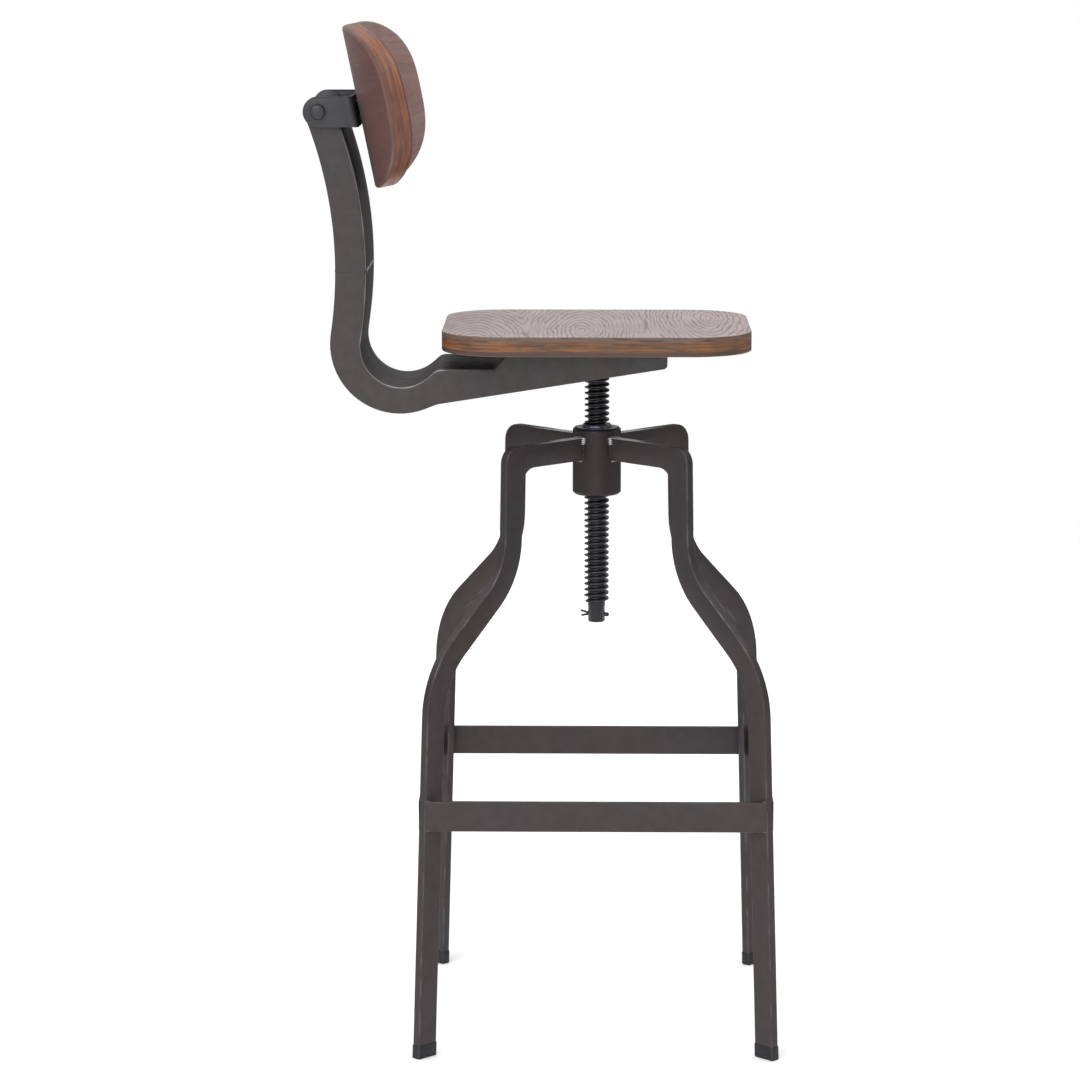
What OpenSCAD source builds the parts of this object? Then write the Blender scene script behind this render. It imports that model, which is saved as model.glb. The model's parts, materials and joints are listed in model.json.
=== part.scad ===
// Bar stool with a screw-adjusted round-cornered wooden seat and a tilting plywood backrest.
// Front of the stool is +X, up is +Z, all sizes are millimetres, and the feet stand on Z = 0.

/* [Base legs] */
// Width of the leg tube, seen from the side of the leg
bar_w = 25; // [18:0.5:32]
// Thickness of the leg tube
bar_t = 10; // [6:0.5:12]
// Wall of the leg tube
bar_wall = 1.5; // [1:0.1:2.5]
// Height of the middle of the arms that join the legs to the hub
arm_z = 626; // [560:1:680]
// Distance of the knee from the screw axis
knee_r = 126; // [110:0.5:150]
// Distance of the shoulder bend from the screw axis
shoulder_r = 129; // [112:0.5:152]
// Height of the shoulder bend
shoulder_z = 503; // [470:1:530]
// Distance of the elbow bend from the screw axis
elbow_r = 238.75; // [215:0.25:245]
// Height of the elbow bend
elbow_z = 407; // [380:1:430]
// Distance of the foot from the screw axis
foot_r = 255.75; // [240:0.25:280]
// Outer radius of the knee
knee_round = 18; // [8:0.5:22]
// Inner radius of the knee
knee_fillet = 17; // [4:0.5:20]
// Radius of the shoulder bend along the middle of the tube
shoulder_round = 84; // [50:1:100]
// Radius of the elbow bend along the middle of the tube
elbow_round = 98; // [50:1:110]

/* [Foot plugs] */
// Height of the part of a foot plug that shows under the tube
cap_h = 15; // [6:0.5:25]
// Length of the part of a foot plug inside the tube
plug_len = 20; // [10:1:40]

/* [Foot rails] */
// Height of the middle of the foot rails
rail_z = 261.5; // [200:0.5:320]
// Height of a foot rail's section
rail_h = 32; // [20:0.5:45]
// Thickness of a foot rail
rail_t = 5; // [3:0.5:8]

/* [Hub] */
// Outer diameter of the hub sleeve
hub_d = 52; // [44:0.5:60]
// Height of the hub sleeve
hub_h = 72.5; // [50:0.5:90]
// How far the hub stands above the top of the arms
hub_rise = 9; // [4:0.5:16]
// Chamfer on both ends of the hub
hub_chamfer = 3; // [1:0.25:5]
// Outer diameter of the threaded insert inside the hub
insert_d = 36; // [32:0.5:38]

/* [Screw] */
// Outer diameter of the thread
screw_d = 26.8; // [24:0.1:28]
// Root diameter of the thread
screw_root_d = 19.1; // [17:0.1:21]
// Rise of the thread in one turn
screw_lead = 6.3; // [5:0.1:8]
// Height of the lower end of the screw with the seat as drawn
screw_bottom_z = 434.5; // [400:0.5:450]
// Length of the plain tip below the thread
tip_len = 16.5; // [12:0.5:24]
// Diameter of the plain tip
tip_d = 18.4; // [14:0.1:19]
// Diameter of the plain shank above the thread
shank_d = 21; // [18:0.5:24]
// Length of the plain shank above the thread
shank_len = 12; // [9:0.5:18]
// Clearance between the screw and the thread that it runs in
thread_gap = 0.35; // [0.25:0.05:0.5]
// Diameter of the split pin across the tip
pin_d = 4; // [3:0.1:5]
// Thickness of the wear ring on top of the hub
ring_t = 3.2; // [2:0.1:5]
// Width of the wear ring, from its bore to its rim
ring_w = 2; // [2:0.1:4]

/* [Seat] */
// Height of the top of the seat as drawn
seat_height = 759.5; // [740:0.5:800]
// Size of the seat from back to front
seat_depth = 326; // [280:1:380]
// Size of the seat from side to side
seat_width = 270; // [230:1:340]
// How far the middle of the seat lies behind the screw axis
seat_shift = 0.6; // [0:0.1:20]
// Thickness of the seat board
seat_t = 21; // [18:0.5:35]
// Radius of the seat's corners
seat_corner = 65; // [30:1:90]
// Diameter of the bolts that hold the seat
seat_bolt_d = 8; // [6:0.5:10]
// Diameter of the screw's flange under the seat
flange_d = 76; // [60:1:84]
// Thickness of the screw's flange
flange_t = 6; // [4:0.5:8]

/* [Back arm] */
// Thickness of the pressed sheet
sheet_t = 3; // [2:0.25:4]
// Width of the pressed channel
channel_w = 142; // [120:1:160]
// Distance from the screw axis to the front end of the channel
front_reach = 74.2; // [60:0.5:100]
// Depth of the channel's flange at the front end
front_depth = 19.8; // [15:0.1:30]
// Distance from the screw axis back to the middle of the lower bend
bend_back = 208; // [200:0.5:230]
// Height of the middle of the lower bend above the seat's underside
bend_rise = 5.5; // [0:0.5:8]
// Radius of the lower bend inside, on the web
bend_inner = 42.5; // [35:0.5:50]
// Depth of the flange at the lower bend
bend_depth = 31; // [20:0.5:35]
// How far the rear shelf lies under the seat
shelf_drop = 20.8; // [14:0.1:24]
// Distance from the screw axis back to the backrest pivot
pivot_back = 291.5; // [280:0.5:310]
// Height of the backrest pivot above the seat's underside
pivot_rise = 249.5; // [220:0.5:280]
// Height of the welded seam above the seat's underside
seam_rise = 82.5; // [60:0.5:110]

/* [Backrest] */
// Width of the backrest panel
panel_w = 300; // [260:1:360]
// Height of the backrest panel
panel_h = 173.5; // [140:0.5:200]
// Thickness of the plywood
panel_t = 19; // [12:0.5:22]
// Radius of the panel's rear face
panel_r = 309; // [250:1:400]
// Fullness of the panel's outline, from 2 for an ellipse upwards
panel_fullness = 3; // [2:0.05:4]
// Lean of the panel as drawn, in degrees
panel_lean = 11.5; // [0:0.25:20]
// Distance from the pivot to the panel's rear face
panel_reach = 38; // [34:0.2:44]
// How far the middle of the panel lies under the pivot
panel_drop = 6; // [0:0.5:10]
// Radius of the bracket's cheeks
cheek_r = 16; // [13:0.5:20]
// Radius of the channel's upper end
end_r = 15.75; // [12:0.25:18]
// Thickness of the bracket
bracket_t = 3; // [2:0.25:4]
// Diameter of the pivot bolt
pivot_d = 10; // [8:0.5:12]
// Thickness of the friction washers at the pivot
washer_t = 1.2; // [0.8:0.1:2]

/* [Hidden] */

$fn = 48;
gunmetal = "#4b4442";
dark_metal = "#3a3432";
black_steel = "#1e1e22";
bright_steel = "#9a9a9e";
plug_grey = "#323237";
ring_blue = "#5c6674";
seat_wood = "#8c7873";
panel_wood = "#6e4b48";

// Largest turn between two neighbouring points of an arc, in degrees
arc_step = 3;
// Overlap that makes a cut pass right through
cut = 1;
// Azimuths of the legs, in the order of the node names
leg_angles = [45, 135, 225, 315];
// Radius of a weld bead
bead_r = 2.2;
// Clearance of a bolt in its hole, on the radius
bolt_gap = 0.2;
// Clearance of the pivot bolt in its bores, on the radius
pivot_gap = 0.08;
// Gap between parts that slide on each other
slide_gap = 0.3;
// Clearance of the foot plug inside the tube
plug_gap = 0.1;

// Hub and base
hub_r = hub_d / 2;
hub_top = arm_z + bar_w / 2 + hub_rise;
hub_bottom = hub_top - hub_h;

// Seat and screw
seat_bottom = seat_height - seat_t;
web_under = seat_bottom - sheet_t;
thread_bottom = screw_bottom_z + tip_len;
thread_top = web_under - shank_len;
pin_z = screw_bottom_z + tip_len / 2;
thread_segments = 20;
// Turn of the thread about its axis that puts its ridges at the heights drawn
thread_turn = 108;
// Width of the thread's crest and root as shares of the lead; the flanks take the rest
crest_share = 0.22;
root_share = 0.3;
// Share of the clearance that a flank moves up or down
flank_gap_share = 0.6;

// Places of the seat bolts: behind and in front of the screw, and to each side
bolt_back = 65;
bolt_front = 50;
bolt_side = 45;
bolt_places = [for (x = [-bolt_back, bolt_front]) for (y = [-bolt_side, bolt_side]) [x, y]];
seat_bolt_head = 5.3;
seat_bolt_flats = 13;
seat_washer_r = 8.5;
seat_washer_t = 1.6;
seat_insert_wall = 2;
seat_insert_r = seat_bolt_d / 2 + seat_insert_wall;
seat_insert_len = 15;
seat_bolt_reach = 13;

// Pivot and bracket
pivot_z = seat_bottom + pivot_rise;
cheek_inside = channel_w / 2 + washer_t + slide_gap;
cheek_outside = cheek_inside + bracket_t;
pivot_head_r = 8.25;
pivot_head_t = 4.5;
pivot_nut_t = 8;
pivot_nut_flats = 17;
// How far the bolt's end stands out of its nut
pivot_end = 2;
spacer_r = 8.5;
friction_washer_r = 13;
bracket_screw_side = 24;
bracket_screw_rise = 8;
bracket_screw_r = 2.4;
bracket_screw_head_r = 4.4;
bracket_screw_head_t = 2.6;
bracket_screw_len = 15;

// Shift that puts the middle of the stool's length over the origin
front_most = (foot_r + bar_w / 2 + bar_t / 2) * sin(45);
rear_most = pivot_back + cheek_r;
axis_x = (rear_most - front_most) / 2;

// Unit vector from a to b
function towards(a, b) = let (v = [b[0] - a[0], b[1] - a[1]]) v / norm(v);

// Points of a corner at p, rounded to radius r, between its neighbours before and after
function rounded_corner(before, p, after, r) =
    let (
        u = towards(p, before), v = towards(p, after),
        half = acos(u * v) / 2,
        middle = [p[0], p[1]] + (u + v) / norm(u + v) * r / sin(half),
        start = [p[0], p[1]] + u * r / tan(half) - middle,
        end = [p[0], p[1]] + v * r / tan(half) - middle,
        a = atan2(start[1], start[0]),
        swing = atan2(start[0] * end[1] - start[1] * end[0], start * end),
        steps = ceil(abs(swing) / arc_step)
    )
    [for (i = [0:steps]) middle + r * [cos(a + swing * i / steps), sin(a + swing * i / steps)]];

// Path through points [x, y, radius], with its inner corners rounded
function rounded_path(points) = [
    for (i = [0:len(points) - 1])
        if (i == 0 || i == len(points) - 1 || points[i][2] == 0) [points[i][0], points[i][1]]
        else each rounded_corner(points[i - 1], points[i], points[i + 1], points[i][2])
];

// Normal to the left of the way from a to b
function left_of(a, b) = let (u = towards(a, b)) [-u[1], u[0]];

// Corner i of a path moved to its left by d
function moved_corner(points, i, d) =
    let (
        last = len(points) - 1,
        m = left_of(points[max(i - 1, 0)], points[max(i, 1)]),
        n = left_of(points[min(i, last - 1)], points[min(i + 1, last)])
    )
    [points[i][0], points[i][1]] + (m + n) * d / (1 + m * n);

// Path moved to its left by d, with the radius of each corner given
function moved_path(points, d, radii) = [
    for (i = [0:len(points) - 1]) [each moved_corner(points, i, d), radii[i]]
];

function reversed(list) = [for (i = [len(list) - 1:-1:0]) list[i]];

// Middle line of a leg in its own plane: distance from the screw axis, then height
leg_line = [
    [hub_r - cut, arm_z], [knee_r, arm_z], [shoulder_r, shoulder_z], [elbow_r, elbow_z], [foot_r, 0]
];

// Outline of a leg whose edges lie half_w from its middle line
function leg_outline(half_w) = let (thinner = bar_w / 2 - half_w) concat(
    rounded_path(moved_path(leg_line, half_w,
        [0, knee_round - thinner, shoulder_round - half_w, elbow_round + half_w, 0])),
    reversed(rounded_path(moved_path(leg_line, -half_w,
        [0, knee_fillet + thinner, shoulder_round + half_w, elbow_round - half_w, 0])))
);

// Distance of the leg's middle line from the screw axis at a height below the elbow
function lower_leg_r(z) = foot_r + (elbow_r - foot_r) * z / elbow_z;

// Plate that stands in a leg's plane
module upright_plate(thickness) {
    rotate([90, 0, 0])
        linear_extrude(height = thickness, center = true) children();
}

module leg(angle) {
    color(gunmetal) rotate(angle) difference() {
        upright_plate(bar_t) intersection() {
            polygon(leg_outline(bar_w / 2));
            translate([0, cap_h]) square([2 * foot_r, hub_top]);
        }
        upright_plate(bar_t - 2 * bar_wall) polygon(leg_outline(bar_w / 2 - bar_wall));
        cylinder(r = hub_r, h = hub_top + cut);
    }
}

// Slice of the lower leg between two heights, for a tube of half width half_w
module leg_slice(from, to, half_w) {
    side = half_w / cos(atan2(foot_r - elbow_r, elbow_z));
    polygon([
        for (end = [[from, -side], [from, side], [to, side], [to, -side]])
            [lower_leg_r(end[0]) + end[1], end[0]]
    ]);
}

module foot_plug(angle) {
    color(plug_grey) rotate(angle) {
        upright_plate(bar_t) leg_slice(0, cap_h, bar_w / 2);
        upright_plate(bar_t - 2 * bar_wall - 2 * plug_gap)
            leg_slice(cap_h - cut, cap_h + plug_len, bar_w / 2 - bar_wall - plug_gap);
    }
}

// Distance from the screw axis to the outer face of the foot rails
rail_out = (lower_leg_r(rail_z) + bar_w / 2 + bar_t / 2) * sin(45);
// Half length of a rail less its distance from the axis: the leg's side stands this far before it
rail_miter = bar_t / 2 / sin(45);

module foot_rail(angle) {
    inner = rail_out - rail_t;
    color(gunmetal) rotate(angle) translate([0, 0, rail_z - rail_h / 2]) linear_extrude(rail_h)
        polygon([
            [rail_out, rail_miter - rail_out], [rail_out, rail_out - rail_miter],
            [inner, inner - rail_miter], [inner, rail_miter - inner]
        ]);
}

module hub_sleeve() {
    color(dark_metal) rotate_extrude() polygon([
        [insert_d / 2, hub_bottom], [hub_r - hub_chamfer, hub_bottom],
        [hub_r, hub_bottom + hub_chamfer], [hub_r, hub_top - hub_chamfer],
        [hub_r - hub_chamfer, hub_top], [insert_d / 2, hub_top]
    ]);
}

// Beads in the corners between the hub and each arm, above, below and on both sides
module hub_welds() {
    color(dark_metal) for (angle = leg_angles) rotate(angle) difference() {
        union() {
            for (side = [-1, 1]) translate([hub_r, side * bar_t / 2, arm_z])
                cylinder(r = bead_r, h = bar_w, center = true);
            for (up = [-1, 1]) translate([hub_r, 0, arm_z + up * bar_w / 2]) rotate([90, 0, 0])
                cylinder(r = bead_r, h = bar_t, center = true);
        }
        cylinder(r = hub_r, h = hub_top + cut);
        translate([0, 0, arm_z]) cube([2 * knee_r, bar_t, bar_w], center = true);
    }
}

// Beads in the corners between each rail's inner face and the sides of the legs
module rail_welds() {
    inner = rail_out - rail_t;
    color(dark_metal) for (angle = [0, 90, 180, 270]) rotate(angle) for (side = [-1, 1]) {
        difference() {
            translate([inner, side * (inner - rail_miter), rail_z])
                cylinder(r = bead_r, h = rail_h - 2 * bead_r, center = true);
            translate([inner, -rail_out, rail_z - rail_h / 2]) cube([rail_t, 2 * rail_out, rail_h]);
            rotate(side * 45) translate([0, -bar_t / 2, rail_z - rail_h])
                cube([2 * rail_out, bar_t, 2 * rail_h]);
        }
    }
}

// Helical surface: points of one column, one turn of the thread after the other
// Each turn has a root that ends, a crest that starts, a crest that ends and a root that starts.
thread_marks = let (flank = (1 - crest_share - root_share) / 2) [
    [0, 0], [flank, 1], [flank + crest_share, 1], [2 * flank + crest_share, 0]
];

// Threaded rod between two heights, with every surface moved outwards by gap
// Its turns are counted from height zero, so a rod and a bore of any heights are in mesh.
module threaded_rod(bottom, top, gap) {
    n = thread_segments;
    first = floor(bottom / screw_lead);
    turns = floor(top / screw_lead) - first - 2;
    marks = len(thread_marks);
    per_column = turns * marks + 1;
    root_r = screw_root_d / 2 + gap;
    crest_r = screw_d / 2 + gap;
    // How far a gap moves a mark: it makes the ridge thicker on both flanks
    function mark_shift(m, rising) = m[1] == 0 ? 0 : (rising ? -1 : 1) * gap * flank_gap_share;
    // Height of a mark in its turn
    function mark_z(j) = let (turn = floor(j / marks), m = thread_marks[j % marks])
        screw_lead * (first + 1 + turn + m[0]) + mark_shift(m, j % marks == 1);
    function mark_r(j) = thread_marks[j % marks][1] == 0 ? root_r : crest_r;
    columns = [for (i = [0:n - 1]) for (j = [0:per_column - 1])
        [mark_r(j) * cos(360 * i / n), mark_r(j) * sin(360 * i / n), mark_z(j) + screw_lead * i / n]];
    low_ring = [for (i = [0:n - 1]) [root_r * cos(360 * i / n), root_r * sin(360 * i / n), bottom]];
    high_ring = [for (i = [0:n - 1]) [root_r * cos(360 * i / n), root_r * sin(360 * i / n), top]];
    low = n * per_column;
    high = low + n;
    // Number of a point, where the column past the last is the first one a turn higher
    function at(i, j) = i < n ? i * per_column + j : j + marks;
    body_faces = [for (i = [0:n - 1]) for (j = [0:per_column - 2 - (i == n - 1 ? marks : 0)])
        each [[at(i, j), at(i, j + 1), at(i + 1, j + 1)], [at(i, j), at(i + 1, j + 1), at(i + 1, j)]]];
    low_faces = [for (i = [0:n - 1]) let (k = (i + 1) % n) if (i < n - 1)
        each [[low + i, at(i, 0), at(k, 0)], [low + i, at(k, 0), low + k]]];
    last = n - 1;
    step_low = [for (j = [0:marks - 1]) [low + last, at(0, j + 1), at(0, j)]];
    high_faces = [for (i = [0:n - 2])
        each [[at(i, per_column - 1), high + i, high + i + 1],
            [at(i, per_column - 1), high + i + 1, at(i + 1, per_column - 1)]]];
    step_high = [for (j = [1:marks]) [high, at(last, per_column - 1 - j), at(last, per_column - j)]];
    seam_faces = [
        [low + last, at(last, 0), at(0, marks)], [low + last, at(0, 0), low],
        [high, at(last, per_column - 1), high + last],
        [high, at(0, per_column - 1), at(last, per_column - 1 - marks)]
    ];
    cap_faces = [[for (i = [0:n - 1]) low + i], [for (i = [n - 1:-1:0]) high + i]];
    rotate(thread_turn) polyhedron(
        points = concat(columns, low_ring, high_ring),
        faces = concat(body_faces, low_faces, step_low, high_faces, step_high, seam_faces, cap_faces)
    );
}

module threaded_insert() {
    color(black_steel) difference() {
        translate([0, 0, hub_bottom]) cylinder(d = insert_d, h = hub_h);
        threaded_rod(hub_bottom - 2 * screw_lead, hub_top + 2 * screw_lead, thread_gap);
    }
}

module wear_ring() {
    bore = screw_d / 2 + thread_gap;
    color(ring_blue) translate([0, 0, hub_top + slide_gap]) difference() {
        cylinder(r = bore + ring_w, h = ring_t);
        translate([0, 0, -cut]) cylinder(r = bore, h = ring_t + 2 * cut);
    }
}

module height_screw() {
    color(black_steel) difference() {
        union() {
            threaded_rod(thread_bottom - cut, thread_top + cut, 0);
            translate([0, 0, screw_bottom_z]) cylinder(d = tip_d, h = tip_len);
            translate([0, 0, thread_top]) cylinder(d = shank_d, h = shank_len);
        }
        translate([0, 0, pin_z]) rotate([0, 90, 0])
            cylinder(d = pin_d + 2 * bolt_gap, h = screw_d, center = true);
    }
}

module split_pin() {
    eye_r = 2.2;
    reach = tip_d / 2 + slide_gap;
    tail = 2 * pin_d;
    spread = 14;
    color(black_steel) translate([0, 0, pin_z]) {
        translate([-reach, 0, 0]) rotate([0, 90, 0]) cylinder(d = pin_d, h = 2 * reach + eye_r / 2);
        translate([reach + eye_r, 0, 0]) rotate([90, 0, 0]) difference() {
            cylinder(r = eye_r, h = pin_d, center = true);
            cylinder(r = eye_r / 3, h = pin_d + cut, center = true);
        }
        for (up = [-1, 1]) translate([-reach, 0, 0]) rotate([0, -90 - up * spread, 0])
            cylinder(d = pin_d / 2, h = tail);
    }
}

module screw_flange() {
    color(dark_metal) translate([0, 0, web_under - flange_t]) difference() {
        cylinder(d = flange_d, h = flange_t);
        translate([0, 0, -cut]) cylinder(d = shank_d, h = flange_t + 2 * cut);
    }
}

// Fillet of weld between the screw's shank and its flange
module flange_weld() {
    size = (shank_len - flange_t) / 2;
    color(dark_metal) rotate_extrude() polygon([
        [shank_d / 2, web_under - flange_t], [shank_d / 2 + size, web_under - flange_t],
        [shank_d / 2, web_under - flange_t - size]
    ]);
}

// Side view of the channel: the front and top of the web, seen as corners [x, z, radius].
// It runs from the front end under the seat, back over the shelf and round the bend, and up.
// Forward lean of the upright's lower part, at the web and at the rear edge
web_lean = 8;
rear_lean = 8.5;
// Backward lean of the upright's upper part, at the web and at the rear edge
web_lean_back = 20;
rear_lean_back = 20.5;
// Slopes of the web behind the shelf, of the step in front of it and of the underside
rise_angle = 40.5;
step_angle = 52;
under_slope = 8.95;
// Climb of the flange's underside into the bend, and the radius where it begins
under_climb = 21.8;
under_corner = 30;
// Heights of the shelf and of the middle of the bend
shelf_z = seat_bottom - shelf_drop;
bend_z = seat_bottom + bend_rise;
// Distance from the screw axis to the front of the shelf, and the radius at its rear end
shelf_front = 107.5;
shelf_corner = 7;
// Radii of the upright's long curve at the rear edge and at the web
upright_round = 438;
web_round = 450;
// Radius of the flange's lower front corner
front_round = 4;
// The web's bend has its middle a little in front of and under that of the rear edge
web_bend_ahead = 1.3;
web_bend_drop = 2.8;

// Point on a circle about the middle of the bend, at an angle from straight down towards the front
function on_bend(r, angle) = [r * sin(angle) - bend_back, bend_z - r * cos(angle)];
// The same on the web's own bend
function on_web_bend(angle) = on_bend(bend_inner, angle) + [web_bend_ahead, -web_bend_drop];
// Where the line through p that climbs at angle a meets the line through q that climbs at angle b
function meet(p, a, q, b) =
    let (s = ((q[0] - p[0]) * sin(b) - (q[1] - p[1]) * cos(b)) / sin(b - a)) p + s * [cos(a), sin(a)];

// Middle of the channel's round upper end, a little in front of the pivot
end_shift = 0.8;
end_at = [end_shift - pivot_back, pivot_z];
// The web and the rear edge touch the round end, leaning back at the top
front_tangent = end_at + end_r * [cos(web_lean_back), sin(web_lean_back)];
rear_tangent = end_at - end_r * [cos(rear_lean_back), sin(rear_lean_back)];

web_line = let (
        rise_from = on_web_bend(rise_angle),
        bend_corner = meet(on_web_bend(-90 - web_lean), 90 - web_lean, rise_from, rise_angle),
        shelf_rear = meet(rise_from, rise_angle, [0, shelf_z], 0),
        top_corner = meet(bend_corner, 90 - web_lean, front_tangent, 90 + web_lean_back)
    ) [
        [front_reach, seat_bottom, 0],
        [shelf_drop / tan(step_angle) - shelf_front, seat_bottom, 0],
        [-shelf_front, shelf_z, 0],
        [each shelf_rear, shelf_corner],
        [each bend_corner, bend_inner],
        [each top_corner, web_round],
        [each front_tangent, 0]
    ];

rear_line = let (
        outer = bend_inner + bend_depth,
        climb_from = on_bend(outer, under_climb),
        front_low = [front_reach, seat_bottom - front_depth],
        bend_corner = meet(on_bend(outer, -90 - rear_lean), 90 - rear_lean, climb_from, under_climb),
        low_corner = meet(climb_from, under_climb, front_low, under_slope),
        top_corner = meet(bend_corner, 90 - rear_lean, rear_tangent, 90 + rear_lean_back)
    ) [
        [each rear_tangent, 0],
        [each top_corner, upright_round],
        [each bend_corner, outer],
        [each low_corner, under_corner],
        [each front_low, front_round],
        [front_reach, seat_bottom, 0]
    ];

// Round end of the channel, from its front edge to its rear edge
channel_end = [for (a = [web_lean_back + arc_step:arc_step:180 + rear_lean_back - arc_step / 2])
    end_at + end_r * [cos(a), sin(a)]];

channel_outline = concat(rounded_path(web_line), channel_end, rounded_path(rear_line));

// Everything behind and under the web, open at the ends
hollow_outline = let (
        radii = [for (p = web_line) p[2]],
        inside = moved_path(web_line, sheet_t, [
            radii[0], radii[1], radii[2],
            radii[3] - sheet_t, radii[4] + sheet_t, radii[5] - sheet_t, radii[6]
        ]),
        last = inside[len(inside) - 1],
        beyond = 2 * cheek_r * [-sin(web_lean_back), cos(web_lean_back)]
    ) concat(
        [[front_reach + cut, inside[0][1]]],
        rounded_path(inside),
        [
            [last[0], last[1]] + beyond,
            [-2 * pivot_back, pivot_z], [-2 * pivot_back, 0], [front_reach + cut, 0]
        ]
    );

module channel() {
    difference() {
        upright_plate(channel_w) polygon(channel_outline);
        upright_plate(channel_w - 2 * sheet_t) polygon(hollow_outline);
        translate([-pivot_back, 0, pivot_z]) rotate([90, 0, 0])
            cylinder(r = pivot_d / 2 + pivot_gap, h = 2 * channel_w, center = true);
        for (place = bolt_places) translate([place[0], place[1], web_under - cut])
            cylinder(r = seat_bolt_d / 2 + bolt_gap, h = sheet_t + 2 * cut);
    }
}

seam_z = seat_bottom + seam_rise;

// Block that holds everything of the channel between two heights
module height_band(from, to) {
    translate([-2 * pivot_back, -channel_w, from]) cube([4 * pivot_back, 2 * channel_w, to - from]);
}

module lower_channel() {
    color(gunmetal) intersection() {
        channel();
        height_band(0, seam_z);
    }
}

module upper_channel() {
    color(gunmetal) intersection() {
        channel();
        height_band(seam_z, pivot_z + 2 * cheek_r);
    }
}

// Ground bead along the seam, across the web and back along both flanges
module seam_weld() {
    proud = 0.7;
    height = 3;
    color(bright_steel) difference() {
        intersection() {
            upright_plate(channel_w + 2 * proud) offset(delta = proud) polygon(channel_outline);
            height_band(seam_z - height / 2, seam_z + height / 2);
        }
        upright_plate(channel_w) polygon(channel_outline);
        upright_plate(channel_w - 2 * sheet_t) polygon(hollow_outline);
    }
}

module seat_board() {
    color(seat_wood) difference() {
        translate([-seat_shift, 0, seat_bottom]) linear_extrude(seat_t) {
            square([seat_depth - 2 * seat_corner, seat_width], center = true);
            square([seat_depth, seat_width - 2 * seat_corner], center = true);
            for (x = [-1, 1]) for (y = [-1, 1])
                translate([x * (seat_depth / 2 - seat_corner), y * (seat_width / 2 - seat_corner)])
                    circle(seat_corner);
        }
        for (place = bolt_places) translate([place[0], place[1], seat_bottom - cut])
            cylinder(r = seat_insert_r, h = seat_insert_len + cut);
    }
}

module seat_inserts() {
    color(bright_steel) for (place = bolt_places)
        translate([place[0], place[1], seat_bottom]) difference() {
            cylinder(r = seat_insert_r, h = seat_insert_len);
            translate([0, 0, -cut]) cylinder(r = seat_bolt_d / 2, h = seat_insert_len + 2 * cut);
        }
}

module seat_bolts() {
    under = web_under - seat_washer_t;
    color(black_steel) for (place = bolt_places) translate([place[0], place[1], under]) {
        cylinder(d = seat_bolt_d, h = seat_washer_t + sheet_t + seat_bolt_reach);
        translate([0, 0, -seat_bolt_head])
            cylinder(d = seat_bolt_flats / cos(30), h = seat_bolt_head, $fn = 6);
    }
}

module seat_washers() {
    color(bright_steel) for (place = bolt_places)
        translate([place[0], place[1], web_under - seat_washer_t]) difference() {
            cylinder(r = seat_washer_r, h = seat_washer_t);
            translate([0, 0, -cut]) cylinder(r = seat_bolt_d / 2 + bolt_gap, h = seat_washer_t + 2 * cut);
        }
}

// Places its children on the pivot axis, with +Z turned to the right-hand side of the stool
module at_pivot() {
    translate([-pivot_back, 0, pivot_z]) rotate([90, 0, 0]) children();
}

module pivot_bolt() {
    end = cheek_outside + slide_gap + pivot_nut_t + pivot_end;
    color(black_steel) at_pivot() {
        translate([0, 0, -end]) cylinder(d = pivot_d, h = end + cheek_outside + slide_gap);
        translate([0, 0, cheek_outside + slide_gap])
            cylinder(r = pivot_head_r, h = pivot_head_t, $fn = 6);
    }
}

module pivot_nut() {
    color(black_steel) at_pivot() translate([0, 0, -cheek_outside - slide_gap - pivot_nut_t]) difference() {
        cylinder(d = pivot_nut_flats / cos(30), h = pivot_nut_t, $fn = 6);
        translate([0, 0, -cut]) cylinder(d = pivot_d, h = pivot_nut_t + 2 * cut);
    }
}

module pivot_spacer() {
    inside = channel_w - 2 * sheet_t;
    color(bright_steel) at_pivot() difference() {
        cylinder(r = spacer_r, h = inside, center = true);
        cylinder(r = pivot_d / 2 + pivot_gap, h = inside + 2 * cut, center = true);
    }
}

module friction_washers() {
    color(black_steel) at_pivot() for (side = [-1, 1])
        translate([0, 0, side * (channel_w / 2 + washer_t / 2)]) difference() {
            cylinder(r = friction_washer_r, h = washer_t, center = true);
            cylinder(r = pivot_d / 2 + pivot_gap, h = washer_t + 2 * cut, center = true);
        }
}

// Frame of the backrest: origin on the pivot, +X square to the panel and +Z up along it
module on_backrest() {
    translate([-pivot_back, 0, pivot_z]) rotate([0, -panel_lean, 0]) children();
}

// Point of the backrest's frame where the bracket's plate is level with the pivot
plate_mid = -panel_reach * tan(panel_lean);

// Places of the four screws through the bracket's plate
module at_bracket_screws() {
    for (side = [-1, 1]) for (up = [-1, 1])
        translate([panel_reach, side * bracket_screw_side, plate_mid + up * bracket_screw_rise])
            rotate([0, 90, 0]) children();
}

// Side view of the space behind a plane that lies a distance in front of the pivot
// It reaches back to x = rear and half up and half down. The plane leans with the panel.
function behind_plane(distance, rear, half) =
    let (front = distance / cos(panel_lean), lean = half * tan(panel_lean))
    [[rear, -half], [front + lean, -half], [front - lean, half], [rear, half]];

module backrest_bracket() {
    color(dark_metal) difference() {
        translate([-pivot_back, 0, pivot_z]) difference() {
            upright_plate(2 * cheek_outside) {
                circle(cheek_r);
                polygon(behind_plane(panel_reach, 0, cheek_r));
            }
            upright_plate(2 * cheek_inside)
                polygon(behind_plane(panel_reach - bracket_t, -2 * cheek_r, 2 * cheek_r));
            upright_plate(3 * cheek_outside) circle(pivot_d / 2 + pivot_gap);
        }
        on_backrest() at_bracket_screws() translate([0, 0, -bracket_t - cut])
            cylinder(r = bracket_screw_r + bolt_gap, h = bracket_t + 2 * cut);
    }
}

// Facets of the panel's two curved faces, on a whole turn
panel_facets = 180;
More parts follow.
